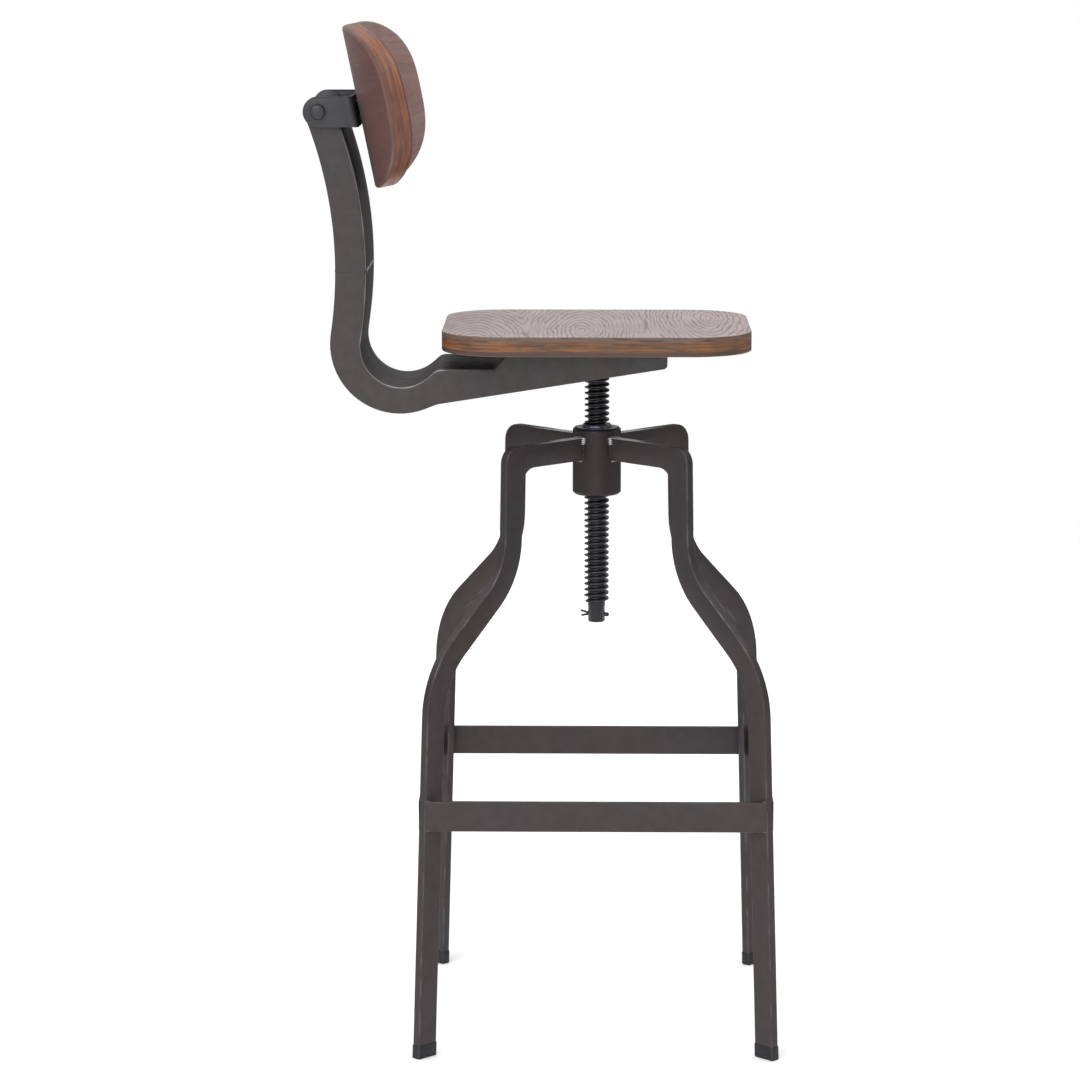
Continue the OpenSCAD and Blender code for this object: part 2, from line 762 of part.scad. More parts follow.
// Superellipse of the panel's outline, seen square to the panel
panel_points = 72;
panel_outline = [for (i = [0:panel_points - 1]) let (a = 360 * i / panel_points) [
    panel_h / 2 * sign(sin(a)) * pow(abs(sin(a)), 2 / panel_fullness),
    panel_w / 2 * sign(cos(a)) * pow(abs(cos(a)), 2 / panel_fullness)
]];

module backrest_panel() {
    color(panel_wood) on_backrest() difference() {
        intersection() {
            translate([panel_reach + panel_r, 0, -panel_drop]) difference() {
                cylinder(r = panel_r, h = panel_h + 2 * cut, center = true, $fn = panel_facets);
                cylinder(r = panel_r - panel_t, h = panel_h + 4 * cut, center = true, $fn = panel_facets);
            }
            translate([panel_reach - cut, 0, -panel_drop]) rotate([0, 90, 0])
                linear_extrude(panel_r / 2) polygon(panel_outline);
        }
        at_bracket_screws() cylinder(r = bracket_screw_r, h = bracket_screw_len + bolt_gap);
    }
}

module backrest_screws() {
    color(black_steel) on_backrest() at_bracket_screws() {
        translate([0, 0, -bracket_t]) cylinder(r = bracket_screw_r, h = bracket_t + bracket_screw_len);
        translate([0, 0, -bracket_t - bracket_screw_head_t])
            cylinder(r = bracket_screw_head_r, h = bracket_screw_head_t);
    }
}

// Stands its children on the screw axis
module on_axis() {
    translate([axis_x, 0, 0]) children();
}

on_axis() leg(leg_angles[0]);  // leg_front_left
on_axis() leg(leg_angles[1]);  // leg_rear_left
on_axis() leg(leg_angles[2]);  // leg_rear_right
on_axis() leg(leg_angles[3]);  // leg_front_right
on_axis() foot_plug(leg_angles[0]);  // foot_plug_front_left
on_axis() foot_plug(leg_angles[1]);  // foot_plug_rear_left
on_axis() foot_plug(leg_angles[2]);  // foot_plug_rear_right
on_axis() foot_plug(leg_angles[3]);  // foot_plug_front_right
on_axis() foot_rail(0);  // foot_rail_front
on_axis() foot_rail(90);  // foot_rail_left
on_axis() foot_rail(180);  // foot_rail_rear
on_axis() foot_rail(270);  // foot_rail_right
on_axis() hub_sleeve();
on_axis() threaded_insert();
on_axis() hub_welds();
on_axis() rail_welds();
on_axis() wear_ring();
on_axis() height_screw();
on_axis() split_pin();
on_axis() screw_flange();
on_axis() flange_weld();
on_axis() lower_channel();
on_axis() upper_channel();
on_axis() seam_weld();
on_axis() seat_board();
on_axis() seat_bolts();
on_axis() seat_washers();
on_axis() seat_inserts();
on_axis() pivot_bolt();
on_axis() pivot_nut();
on_axis() pivot_spacer();
on_axis() friction_washers();
on_axis() backrest_bracket();
on_axis() backrest_panel();
on_axis() backrest_screws();
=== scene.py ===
import json
import math
import random

import bmesh
import bpy
from mathutils import Matrix, Vector


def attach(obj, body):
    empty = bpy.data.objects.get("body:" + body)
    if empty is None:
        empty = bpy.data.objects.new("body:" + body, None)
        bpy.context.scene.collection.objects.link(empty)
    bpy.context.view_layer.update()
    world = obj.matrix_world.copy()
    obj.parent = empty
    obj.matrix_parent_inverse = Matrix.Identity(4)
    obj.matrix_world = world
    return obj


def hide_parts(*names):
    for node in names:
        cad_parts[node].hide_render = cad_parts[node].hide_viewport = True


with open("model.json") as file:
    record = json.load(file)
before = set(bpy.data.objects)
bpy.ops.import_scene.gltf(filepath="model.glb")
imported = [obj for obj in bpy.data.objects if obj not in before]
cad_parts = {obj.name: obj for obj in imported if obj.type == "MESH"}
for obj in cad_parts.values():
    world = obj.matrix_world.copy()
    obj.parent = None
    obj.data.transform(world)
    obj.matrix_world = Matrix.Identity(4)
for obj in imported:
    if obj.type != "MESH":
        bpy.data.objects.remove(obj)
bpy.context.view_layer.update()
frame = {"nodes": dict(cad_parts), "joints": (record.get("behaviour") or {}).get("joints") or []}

# Base legs. Each leg is one flat steel tube with rounded edges, bent in its own upright plane: an arm
# at the hub, a knee, a shoulder, an elbow, and a straight run to the floor. All four have a satin
# gunmetal lacquer that is lighter along the edges, partly worn and partly a painted highlight, and the
# arms' top edges by the hub carry a painted near-white highlight. Lengths are millimetres from the screw's
# axis.
screw_x = frame["joints"][0]["pos_m"][0] * 1000
leg_angles = {"front_left": 45, "rear_left": 135, "rear_right": 225, "front_right": 315}
tube_width, tube_thickness, tube_edge = 25, 10, 1.7
arm_start, arm_height, plug_top = 24, 626, 15
leg_corners = [Vector(p) for p in (
    (arm_start, arm_height), (126, arm_height), (129, 503), (238.75, 407), (255.75, 0))]
upper_radii, lower_radii = (0, 18, 71.5, 110.5, 0), (0, 17, 96.5, 85.5, 0)
# Painted highlight: the arms' top edges, within this reach of the axis and this depth of the edge, get a mark
# over one, painted near white.
highlight_reach, highlight_depth, highlight_wear = 30, 0.9, 2.4


def add(tree, kind, sockets=None, out=0, **settings):
    """Adds a shader node, fills or joins its sockets, and returns one of its outputs."""
    made = tree.nodes.new("ShaderNode" + kind)
    for name, value in settings.items():
        setattr(made, name, value)
    for key, value in (sockets or {}).items():
        if isinstance(value, bpy.types.NodeSocket):
            tree.links.new(value, made.inputs[key])
        else:
            made.inputs[key].default_value = value
    return made.outputs[out]


def maths(operation, first, *others):
    """Works out a figure from a node's output and other outputs or numbers."""
    return add(first.id_data, "Math", dict(enumerate((first, *others))), operation=operation)


def plus(first, second):
    return maths("ADD", first, second)


def times(first, second):
    return maths("MULTIPLY", first, second)


def spread(value, low, high, to_low=0.0, to_high=1.0):
    """Maps a value from low..high to to_low..to_high, with soft ends."""
    return add(value.id_data, "MapRange", {0: value, 1: low, 2: high, 3: to_low, 4: to_high},
               interpolation_type="SMOOTHSTEP")


def blend(share, under, over):
    """Mixes two colours by a share. Each is a node's output or red, green and blue."""
    under, over = (c if isinstance(c, bpy.types.NodeSocket) else (*c, 1) for c in (under, over))
    return add(share.id_data, "Mix", {0: share, 6: under, 7: over}, out=2, data_type="RGBA")


def noise(where, scale, detail=3.0, stretch=(1, 1, 1)):
    """Noise whose features are drawn out along an axis by a small figure of stretch."""
    drawn = add(where.id_data, "VectorMath", {0: where, 1: stretch}, operation="MULTIPLY")
    return add(where.id_data, "TexNoise", {"Vector": drawn, "Scale": scale, "Detail": detail})


def new_finish(name, **shader_sockets):
    """A material with its shader's own sockets set, its shader, and the place on the piece."""
    made = bpy.data.materials.new(name)
    made.use_nodes = True
    shader = made.node_tree.nodes["Principled BSDF"]
    for key, value in shader_sockets.items():
        shader.inputs[key.replace("_", " ")].default_value = value
    return made, shader, add(made.node_tree, "TexCoord", out=3)


def mark(place, name, out=2):
    """What each point of the mesh carries under a name: its wear and painted highlight, or its place in the
    grain.
    """
    return add(place.id_data, "Attribute", attribute_name=name, out=out)


def join(shader, colour, roughness, height, depth):
    """Joins colour and roughness to the shader, and a height map as bump of that depth in metres."""
    tree = shader.id_data
    tree.links.new(colour, shader.inputs["Base Color"])
    tree.links.new(roughness, shader.inputs["Roughness"])
    bump = add(tree, "Bump", {"Height": height, "Strength": 1.0, "Distance": depth})
    tree.links.new(bump, shader.inputs["Normal"])


def lacquered_steel(name, cool, warm, edge, low, high):
    """Satin lacquer over steel, with cool and warm clouds and a fine mottle. Edges are lighter in places,
    partly rubbed and partly a painted highlight; where the mark goes over one it paints a near-white
    highlight."""
    made, shader, place = new_finish(
        name, Metallic=0.5, Specular_IOR_Level=0.28, Specular_Tint=(0.35, 0.35, 0.37, 1))
    clouds = spread(noise(place, 8.0, 2.0, (1, 1, 0.6)), 0.36, 0.64)
    mottle = noise(place, 85.0, 4.0)
    wear_and_shine = mark(place, "wear_and_highlight")
    rubbed_and_highlit = times(maths("MINIMUM", wear_and_shine, 1.0), spread(noise(place, 42.0, 4.0), 0.44, 0.62))
    colour = blend(clouds, cool, warm)
    colour = blend(spread(mottle, 0.35, 0.68, 0.0, 0.08), colour, (0.012, 0.011, 0.012))
    # Painted highlight mixed with wear: edges lighter by the mark, and near white where it goes over one.
    colour = blend(times(rubbed_and_highlit, 0.38), colour, edge)
    colour = blend(spread(wear_and_shine, 1.15, 1.7), colour, (0.85, 0.85, 0.86))
    roughness = plus(spread(clouds, 0.0, 1.0, low, high), spread(mottle, 0.3, 0.7, -0.04, 0.05))
    join(shader, colour, roughness, noise(place, 1400.0, 2.0), 0.00003)
    return made


gunmetal = lacquered_steel("gunmetal_lacquer", (0.059, 0.053, 0.057), (0.067, 0.054, 0.053),
                           (0.17, 0.17, 0.185), 0.36, 0.46)


def corner_points(before, corner, after, radius, steps):
    """Arc that rounds a corner of a flat path."""
    back, ahead = (before - corner).normalized(), (after - corner).normalized()
    half = back.angle(ahead) / 2
    middle = corner + (back + ahead).normalized() * radius / math.sin(half)
    start = corner + back * radius / math.tan(half) - middle
    end = corner + ahead * radius / math.tan(half) - middle
    swing = math.atan2(start.x * end.y - start.y * end.x, start.dot(end))
    return [middle + Matrix.Rotation(swing * i / steps, 2) @ start for i in range(steps + 1)]


def rounded_path(corners, radii, steps=12):
    """Flat path with each inner corner rounded by its own radius, or kept where that is zero."""
    path = []
    for i, corner in enumerate(corners):
        if radii[i]:
            path += corner_points(corners[i - 1], corner, corners[i + 1], radii[i], steps)
        else:
            path.append(corner)
    return path


def moved_path(corners, sideways):
    """Corners of a flat path moved to the left of its way."""
    def left(a, b):
        return Vector((a.y - b.y, b.x - a.x)).normalized()
    last, moved = len(corners) - 1, []
    for i, corner in enumerate(corners):
        m = left(corners[max(i - 1, 0)], corners[max(i, 1)])
        n = left(corners[min(i, last - 1)], corners[min(i + 1, last)])
        moved.append(corner + (m + n) * sideways / (1 + m.dot(n)))
    return moved


def rounded_corners(half_long, half_wide, radius, steps):
    """Rounded rectangle as points, each with its way outward and its share of the turn of its corner."""
    found = []
    for quarter, (u, v) in enumerate(((1, 1), (-1, 1), (-1, -1), (1, -1))):
        for i in range(steps + 1):
            a = math.radians(90 * (quarter + i / steps))
            found.append((u * (half_long - radius) + radius * math.cos(a),
                          v * (half_wide - radius) + radius * math.sin(a), a, i / steps))
    return found


def bar_section(half_width, half_thickness, edge):
    """Section of a bar with rounded edges: across its width, across its thickness, and the edge mark there,
    wear with a painted highlight on lacquered steel.
    """
    return [(u, v, math.sin(math.pi * share))
            for u, v, _, share in rounded_corners(half_width, half_thickness, edge, 4)]


def skin(rings, ring_closed=True, rows_closed=False):
    """Faces over rings of points: quads between neighbours, and end caps where the row isn't closed."""
    count = len(rings[0])
    faces = []
    for i in range(len(rings) if rows_closed else len(rings) - 1):
        j = (i + 1) % len(rings)
        for k in range(count if ring_closed else count - 1):
            m = (k + 1) % count
            faces.append((i * count + k, i * count + m, j * count + m, j * count + k))
    if not rows_closed:
        faces.append(tuple(range(count)))
        faces.append(tuple(range((len(rings) - 1) * count, len(rings) * count)))
    return [p for ring in rings for p in ring], faces


def piece(name, shape, finish, body, slot, *nodes, crease=38, grain=None):
    """Makes a piece from points (x, y, z, mark of wear and painted highlight) and faces, finishes it and fits
    it to its body.
    """
    points, faces = shape
    shell = bmesh.new()
    wear_and_shine = shell.verts.layers.float.new("wear_and_highlight")
    grown = shell.verts.layers.float_vector.new("grain") if grain else None
    corners = []
    for i, p in enumerate(points):
        corner = shell.verts.new(((p[0] + screw_x) / 1000, p[1] / 1000, p[2] / 1000))
        corner[wear_and_shine] = p[3] if len(p) > 3 else 0.0
        if grain:
            corner[grown] = grain[i]
        corners.append(corner)
    for face in faces:
        shell.faces.new([corners[k] for k in face])
    bmesh.ops.remove_doubles(shell, verts=shell.verts, dist=1e-7)
    bmesh.ops.recalc_face_normals(shell, faces=shell.faces)
    mesh = bpy.data.meshes.new(name)
    shell.to_mesh(mesh)
    shell.free()
    mesh.shade_smooth()
    mesh.set_sharp_from_angle(angle=math.radians(crease))
    mesh.materials.append(finish)
    made = bpy.data.objects.new(name, mesh)
    bpy.context.scene.collection.objects.link(made)
    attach(made, body)
    if nodes:
        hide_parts(*nodes)
    return made


def placed(shape, way):
    """A shape with each point's place given by way(x, y, z)."""
    points, faces = shape
    return [(*way(*p[:3]), *p[3:]) for p in points], faces


def turned_by(angle):
    """A way that turns a shape about the screw's axis."""
    c, s = math.cos(math.radians(angle)), math.sin(math.radians(angle))
    return lambda x, y, z: (c * x - s * y, s * x + c * y, z)


def at_height(a, b, z):
    """Point of the line from a to b at height z."""
    return a.lerp(b, (z - a.y) / (b.y - a.y))


def leg_edge(sideways, radii):
    """Upper or lower edge of the tube, from the hub to the top of the foot plug."""
    path = rounded_path(moved_path(leg_corners, sideways), radii)
    path[-1] = at_height(path[-2], path[-1], plug_top)
    return path


def leg_ring(outer, inner):
    """Section of the tube between two edge points. The arms' top edges by the hub carry a painted highlight,
    marked near white.
    """
    middle, way, half = (outer + inner) / 2, (outer - inner).normalized(), (outer - inner).length / 2
    ring = []
    for u, v, wear_and_shine in bar_section(half, tube_thickness / 2, tube_edge):
        # Painted highlight along the arms' top edges by the hub.
        if u > half - highlight_depth and middle.x < highlight_reach:
            wear_and_shine = highlight_wear
        ring.append((middle.x + way.x * u, v, middle.y + way.y * u, wear_and_shine))
    return ring


leg_shape = skin([leg_ring(*pair) for pair in zip(
    leg_edge(tube_width / 2, upper_radii), leg_edge(-tube_width / 2, lower_radii))])
for corner, angle in leg_angles.items():
    piece(f"leg_tube_{corner}", placed(leg_shape, turned_by(angle)), gunmetal,
          "base", "gunmetal_steel", f"leg_{corner}")

# Foot plugs. Dark grey moulded plastic caps, pushed into the open ends of the tubes. Each stands a
# hair proud of the tube all round, has a rounded rim, and is hollowed a little on its underside.
plug_proud, plug_edge = 0.45, 1.4
plug_levels = ((0.9, -3.4), (0.0, -2.8), (0.0, -1.3), (0.35, -0.5), (1.1, 0.0), (13.9, 0.0),
               (14.6, -0.15), (15.1, -0.6), (15.2, -1.4))


def two_toned(name, scale, detail, dark, pale, roughness, depth, reach=(0.35, 0.65), grit=None,
              rub=None, rub_in_dark=None, **shader_sockets):
    """A finish clouded between two tones. Its bump is a fine grit or the clouds themselves. Rub is the
    share and colour of worn edges, and rub_in_dark what is left of that share in the darkest clouds."""
    made, shader, place = new_finish(name, **shader_sockets)
    clouds = noise(place, scale, detail)
    colour = blend(spread(clouds, *reach), dark, pale)
    if rub:
        wear_and_highlight = mark(place, "wear_and_highlight")
        if rub_in_dark:
            wear_and_highlight = times(wear_and_highlight, spread(clouds, 0.35, 0.65, rub_in_dark, 1.0))
        colour = blend(times(wear_and_highlight, rub[0]), colour, rub[1])
    relief = noise(place, grit, 2.0) if grit else clouds
    join(shader, colour, spread(clouds, 0.3, 0.7, *roughness), relief, depth)
    return made


plastic = two_toned("moulded_plastic", 70.0, 4.0, (0.006, 0.006, 0.008), (0.009, 0.009, 0.012),
                    (0.48, 0.62), 0.00006, grit=1300.0, rub=(0.5, (0.06, 0.06, 0.068)),
                    Specular_IOR_Level=0.4)


def lower_leg(z):
    """Distance of the leg's middle line from the screw's axis at a height under the elbow."""
    return at_height(leg_corners[3], leg_corners[4], z).x


def plug_ring(z, grown):
    """Rim of a plug at a height, drawn in from its full size. Its underside isn't rubbed."""
    size = plug_proud + grown
    return [(lower_leg(z) + u, v, z, wear_and_shine * (grown > -1)) for u, v, wear_and_shine in bar_section(
        tube_width / 2 + size, tube_thickness / 2 + size, plug_edge)]


plug_shape = skin([plug_ring(z, grown) for z, grown in plug_levels])
for corner, angle in leg_angles.items():
    piece(f"foot_cap_{corner}", placed(plug_shape, turned_by(angle)), plastic,
          "base", "grey_plastic", f"foot_plug_{corner}")

# Foot rails. Four flat steel bars between the legs, mitred to lie against the sides of the tubes and
# lacquered with them. Each is held by a bead down its inner corner and by a tack above and below.
rail_height, rail_depth, rail_thickness, rail_edge, rail_end = 261.5, 32, 5, 0.9, 40
rail_outside = (lower_leg(rail_height) + tube_width / 2 + tube_thickness / 2) * math.sin(math.pi / 4)
rail_inside = rail_outside - rail_thickness
rail_set_back = tube_thickness / 2 / math.sin(math.pi / 4)
rail_angles = {"front": 0, "left": 90, "rear": 180, "right": 270}


def rail_ring(side, from_end=0):
    """Section of a rail at a distance from one end, on the mitre that lies against the leg."""
    ring = []
    for u, v, wear_and_shine in bar_section(rail_depth / 2, rail_thickness / 2, rail_edge):
        x = rail_outside - rail_thickness / 2 + v
        ring.append((x, side * (x - rail_set_back - from_end), rail_height + u, wear_and_shine))
    return ring


rail_shape = skin([rail_ring(-1), rail_ring(-1, rail_end), rail_ring(1, rail_end), rail_ring(1)])
for side, angle in rail_angles.items():
    piece(f"foot_bar_{side}", placed(rail_shape, turned_by(angle)), gunmetal,
          "base", "gunmetal_steel", f"foot_rail_{side}")


def weld_steel(name, bare_and_glint, lacquer):
    """Lacquered weld metal with heat tints. Where the shine mark is high it takes the bare colour: bare weld
    metal in part, and painted glints.
    """
    made, shader, place = new_finish(name, Metallic=0.7, Specular_IOR_Level=0.3)
    scale = noise(place, 900.0)
    shine = mark(place, "wear_and_highlight")
    # Painted glints: the shine mark turns the lacquer to the bare colour, with real bare weld metal in part.
    colour = blend(shine, lacquer, bare_and_glint)
    colour = blend(spread(noise(place, 240.0, 4.0), 0.5, 0.75, 0.0, 0.5), colour, (0.10, 0.085, 0.09))
    roughness = plus(spread(shine, 0.0, 1.0, 0.50, 0.24), spread(scale, 0.3, 0.7, -0.04, 0.08))
    join(shader, colour, roughness, scale, 0.00008)
    return made


lacquered_weld = weld_steel("lacquered_weld", (0.55, 0.55, 0.56), (0.040, 0.034, 0.033))


def merged(shapes):
    """Several shapes as one."""
    points, faces = [], []
    for more, over in shapes:
        faces += [tuple(k + len(points) for k in face) for face in over]
        points += more
    return points, faces


def along(path, half_sizes, station_marks, around=12):
    """Sweeps an oval along a path: half_sizes gives each station's two half sizes, and the last list each
    station's mark, wear and on welds painted glints.
    """
    rings, up = [], None
    for i, here in enumerate(path):
        ahead = (path[min(i + 1, len(path) - 1)] - path[max(i - 1, 0)]).normalized()
        if up is None:
            up = ahead.orthogonal().normalized() if abs(ahead.z) > 0.5 else Vector((0, 0, 1))
        up = (up - ahead * up.dot(ahead)).normalized()
        across = ahead.cross(up)
        a, b = half_sizes[i]
        rings.append([(*(here + up * a * math.cos(t) + across * b * math.sin(t)), station_marks[i])
                      for t in (math.tau * k / around for k in range(around))])
    return skin(rings)


ripple_pitch, ripple_step = 2.1, 0.45


def rippled(turn):
    """Share of a bead's full size at a turn of its ripple, and how far that is up the ripple."""
    up = abs(math.sin(turn))
    return 0.84 + 0.16 * up, up


def weld_bead(start, end, radius, seed, shine=0.35):
    """A bead laid from start to end: overlapping ripples, a little uneven, with rounded ends. Its ripple
    crests carry shine, painted glints on the weld.
    """
    chance = random.Random(seed)
    start, end = Vector(start), Vector(end)
    length = (end - start).length
    steps = max(6, round(length / ripple_step))
    path, sizes, station_marks = [], [], []
    for i in range(steps + 1):
        share = i / steps
        size, up = rippled(math.pi * share * length / ripple_pitch)
        ends = math.sqrt(max(0.02, 1 - abs(2 * share - 1) ** 8))
        size *= radius * ends * chance.uniform(0.96, 1.04)
        path.append(start.lerp(end, share))
        sizes.append((size, size))
        # Painted glints: shine on the crest of each ripple.
        station_marks.append(shine * up)
    return along(path, sizes, station_marks)


bead_radius, tack_radius, tack_rise = 2.2, 1.5, 1.6
bead_low, bead_high = rail_height - rail_depth / 2 + bead_radius, rail_height + rail_depth / 2 - bead_radius
rail_corner = rail_inside - rail_set_back
rail_beads = []
for number, angle in enumerate(rail_angles.values()):
    for side in (-1, 1):
        seed = 10 * number + side
        inner = side * rail_corner
        beads = [((rail_inside, inner, bead_low), (rail_inside, inner, bead_high), bead_radius, seed)]
        for z in (bead_low - tack_rise, bead_high + tack_rise):
            beads.append(((rail_inside + 0.6, side * (rail_corner + 0.4), z),
                          (rail_outside - 0.8, side * (rail_corner + rail_thickness - 0.8), z),
                          tack_radius, seed + z))
        rail_beads += [placed(weld_bead(*bead), turned_by(angle)) for bead in beads]
piece("rail_weld_beads", merged(rail_beads), lacquered_weld, "base", "dark_steel", "rail_welds")

# Hub. A turned steel sleeve that the arms are welded to, lacquered darker than the legs, with a
# threaded insert pressed into it. Its ends are chamfered and its top is turned flat.
hub_radius, hub_bottom, hub_top, hub_chamfer = 26, 575, 647.5, 2.4
insert_radius, turned_flat = 18, 22


def turned(profile, around=96, closed=True):
    """Turns a profile of (radius, height, mark of wear and painted highlight) about the screw's axis."""
    rings = []
    for k in range(around):
        c, s = math.cos(math.tau * k / around), math.sin(math.tau * k / around)
        rings.append([(r * c, r * s, z, w) for r, z, w in profile])
    return skin(rings, ring_closed=closed, rows_closed=True)


def eased(radius, z, size, top=True):
    """Chamfered edge of a turned piece, with its two corners softened and marked lighter, worn and partly a
    painted highlight.
    """
    up = 1 if top else -1
    steps = ((0, -size - 0.8, 0), (0, -size - 0.2, 0.7), (-0.25, -size + 0.25, 0.5),
             (-size / 2, -size / 2, 0.1), (-size + 0.25, -0.25, 0.5), (-size - 0.2, 0, 0.7),
             (-size - 0.9, 0, 0))
    return [(radius + a, z + up * b, w) for a, b, w in steps]


dark_lacquer = lacquered_steel("dark_lacquer", (0.038, 0.034, 0.036), (0.046, 0.037, 0.037),
                               (0.18, 0.18, 0.185), 0.30, 0.38)
hub_profile = [(insert_radius, hub_bottom, 0)] + eased(hub_radius, hub_bottom, hub_chamfer, False)[::-1]
hub_profile += eased(hub_radius, hub_top, hub_chamfer)
# The turned top face is marked over one: bare turned steel, painted near white as a highlight.
hub_profile += [(turned_flat + 0.3, hub_top, 0), (turned_flat, hub_top, 2), (insert_radius, hub_top, 2)]
piece("hub_body", turned(hub_profile), dark_lacquer, "base", "dark_steel", "hub_sleeve", crease=50)

hub_beads = []
half_w, half_t = tube_width / 2, tube_thickness / 2
arm_top, arm_under = arm_height + half_w, arm_height - half_w
for number, angle in enumerate(leg_angles.values()):
    for side in (-1, 1):
        flank, sill = side * half_t, arm_height + side * half_w
        # Painted glints: none down the side bead, the brightest on the blob at the top of each joint, less on
        # the cross bead.
        side_bead = ((hub_radius - 0.6, flank, arm_under + 0.5),
                     (hub_radius - 0.6, flank, arm_top - 6), 1.3, 0.0)
        top_blob = ((hub_radius + 0.2, flank, arm_top - 8),
                    (hub_radius - 0.4, side * (half_t + 1), arm_top + 1), 3.0, 1.1)
        cross_bead = (hub_radius, 0.4 - half_t, sill), (hub_radius, half_t - 0.4, sill), 1.9, 0.5
        for start, end, radius, shine in (side_bead, top_blob, cross_bead):
            bead = weld_bead(start, end, radius, 100 + 10 * number + side + radius, shine)
            hub_beads.append(placed(bead, turned_by(angle)))
piece("hub_weld_beads", merged(hub_beads), lacquered_weld, "base", "dark_steel", "hub_welds")

# Height screw. A black steel rod with a coarse right-hand thread of rounded crests, a plain tip
# below and a plain shank above. The insert in the hub has the same thread, and keeps its CAD shape.
thread_lead, thread_root, thread_crest = 6.3, 9.55, 13.4
thread_first, thread_turns, steps_a_turn, thread_phase = 72, 42, 40, math.radians(108)
thread_profile = ((0.0, 0.0), (0.07, 0.10), (0.17, 0.80), (0.24, 0.97), (0.35, 1.0), (0.46, 0.97),
                  (0.53, 0.80), (0.63, 0.10), (0.70, 0.0), (0.85, 0.0))
tip_radius, tip_bottom, thread_bottom = 9.2, 434.5, 451
shank_radius, shank_bottom, shank_shoulder, web_under = 10.5, 718, 723.5, 735.5
black = two_toned("black_steel", 45.0, 4.0, (0.007, 0.007, 0.010), (0.012, 0.012, 0.016), (0.26, 0.42),
                  0.00003, grit=1100.0, rub=(0.4, (0.055, 0.055, 0.065)), rub_in_dark=0.3, Metallic=0.6,
                  Coat_Weight=0.3, Coat_Roughness=0.2, Specular_IOR_Level=0.5)

frame["nodes"]["threaded_insert"].data.materials.clear()
frame["nodes"]["threaded_insert"].data.materials.append(black)


def screw_thread():
    """The thread as one helical strip: columns of one lead each, where a column's end is the start
    of the column a turn on, and the ridge rises out of the core over its first and last part turn."""
    count, last, run_in = len(thread_profile), thread_turns * steps_a_turn, 0.45 * steps_a_turn
    points, faces = [], []
    for i in range(last + 1):
        angle = math.tau * i / steps_a_turn + thread_phase
        rise = math.sin(min(1.0, i / run_in, (last - i) / run_in) * math.pi / 2)
        for f, tall in thread_profile:
            r = thread_root + (thread_crest - thread_root) * tall * rise
            points.append((r * math.cos(angle), r * math.sin(angle),
                           thread_lead * (thread_first + i / steps_a_turn + f), max(0.0, tall * 4 - 3)))
    for i in range(last):
        for k in range(count - 1):
            faces.append((i * count + k, i * count + k + 1, (i + 1) * count + k + 1, (i + 1) * count + k))
        if i + 1 + steps_a_turn <= last:
            over = i + steps_a_turn
            faces.append((i * count + count - 1, over * count,
                          (over + 1) * count, (i + 1) * count + count - 1))
    low = thread_lead * thread_first
    points.append((0, 0, low, 0))
    points.append((0, 0, low + thread_lead * (thread_turns + 1), 0))
    low_end, high_end = len(points) - 2, len(points) - 1
    for i in range(steps_a_turn):
        faces.append((low_end, i * count, (i + 1) * count))
        j = last - steps_a_turn + i
        faces.append((high_end, j * count + count - 1, (j + 1) * count + count - 1))
    faces.append((low_end, *range(count), steps_a_turn * count))
    faces.append((high_end, *range(last * count + count - 1, last * count - 1, -1),
                  (last - steps_a_turn) * count + count - 1))
    return points, faces


tip = turned([
    (0, tip_bottom, 0), (tip_radius - 1.6, tip_bottom, 0), (tip_radius - 0.5, tip_bottom + 0.4, 0.5),
    (tip_radius, tip_bottom + 1.5, 0.2), (tip_radius, thread_bottom + 1, 0),
    (thread_root, thread_bottom + 3, 0), (thread_root - 0.2, thread_bottom + 10, 0),
    (0, thread_bottom + 10, 0)], closed=False)
shank = turned([(0, shank_bottom, 0), (thread_root - 0.1, shank_bottom, 0), (shank_radius, shank_shoulder, 0),
                (shank_radius, web_under, 0), (0, web_under, 0)], closed=False)
piece("screw_rod", merged([screw_thread(), tip, shank]), black, "seat_unit", "black_steel", "height_screw",
      crease=50)

# Wear ring. A thin blue-grey ring of hardened steel round the screw, loose on top of the hub, so
# that the screw's turning doesn't mark the lacquer.
ring_bore, ring_rim, ring_bottom, ring_height = 13.75, 15.75, 647.8, 3.2
hardened = two_toned("hardened_steel", 160.0, 3.0, (0.085, 0.105, 0.15), (0.15, 0.17, 0.20), (0.22, 0.36),
                     0.00002, Metallic=0.8, Specular_IOR_Level=0.5)
ring_profile = ((ring_bore, 0), (ring_rim, 0), (ring_rim, 1.2), (ring_rim - 0.8, 2.8),
                (ring_rim - 1.3, ring_height), (ring_bore + 0.2, ring_height), (ring_bore, 3.0))
piece("hub_ring", turned([(r, ring_bottom + z, 0) for r, z in ring_profile]), hardened,
      "swivel_ring", "blue_grey_steel", "wear_ring")

# Split pin. Black wire folded double, pushed through the screw's tip as a stop, with its eye at the
# front and its two tails opened at the rear, so that the seat can't be wound out of the hub.
pin_height, pin_wire, pin_tilt = 442.75, 1.15, 3.5
eye_middle, eye_radius = 11.4, 1.25


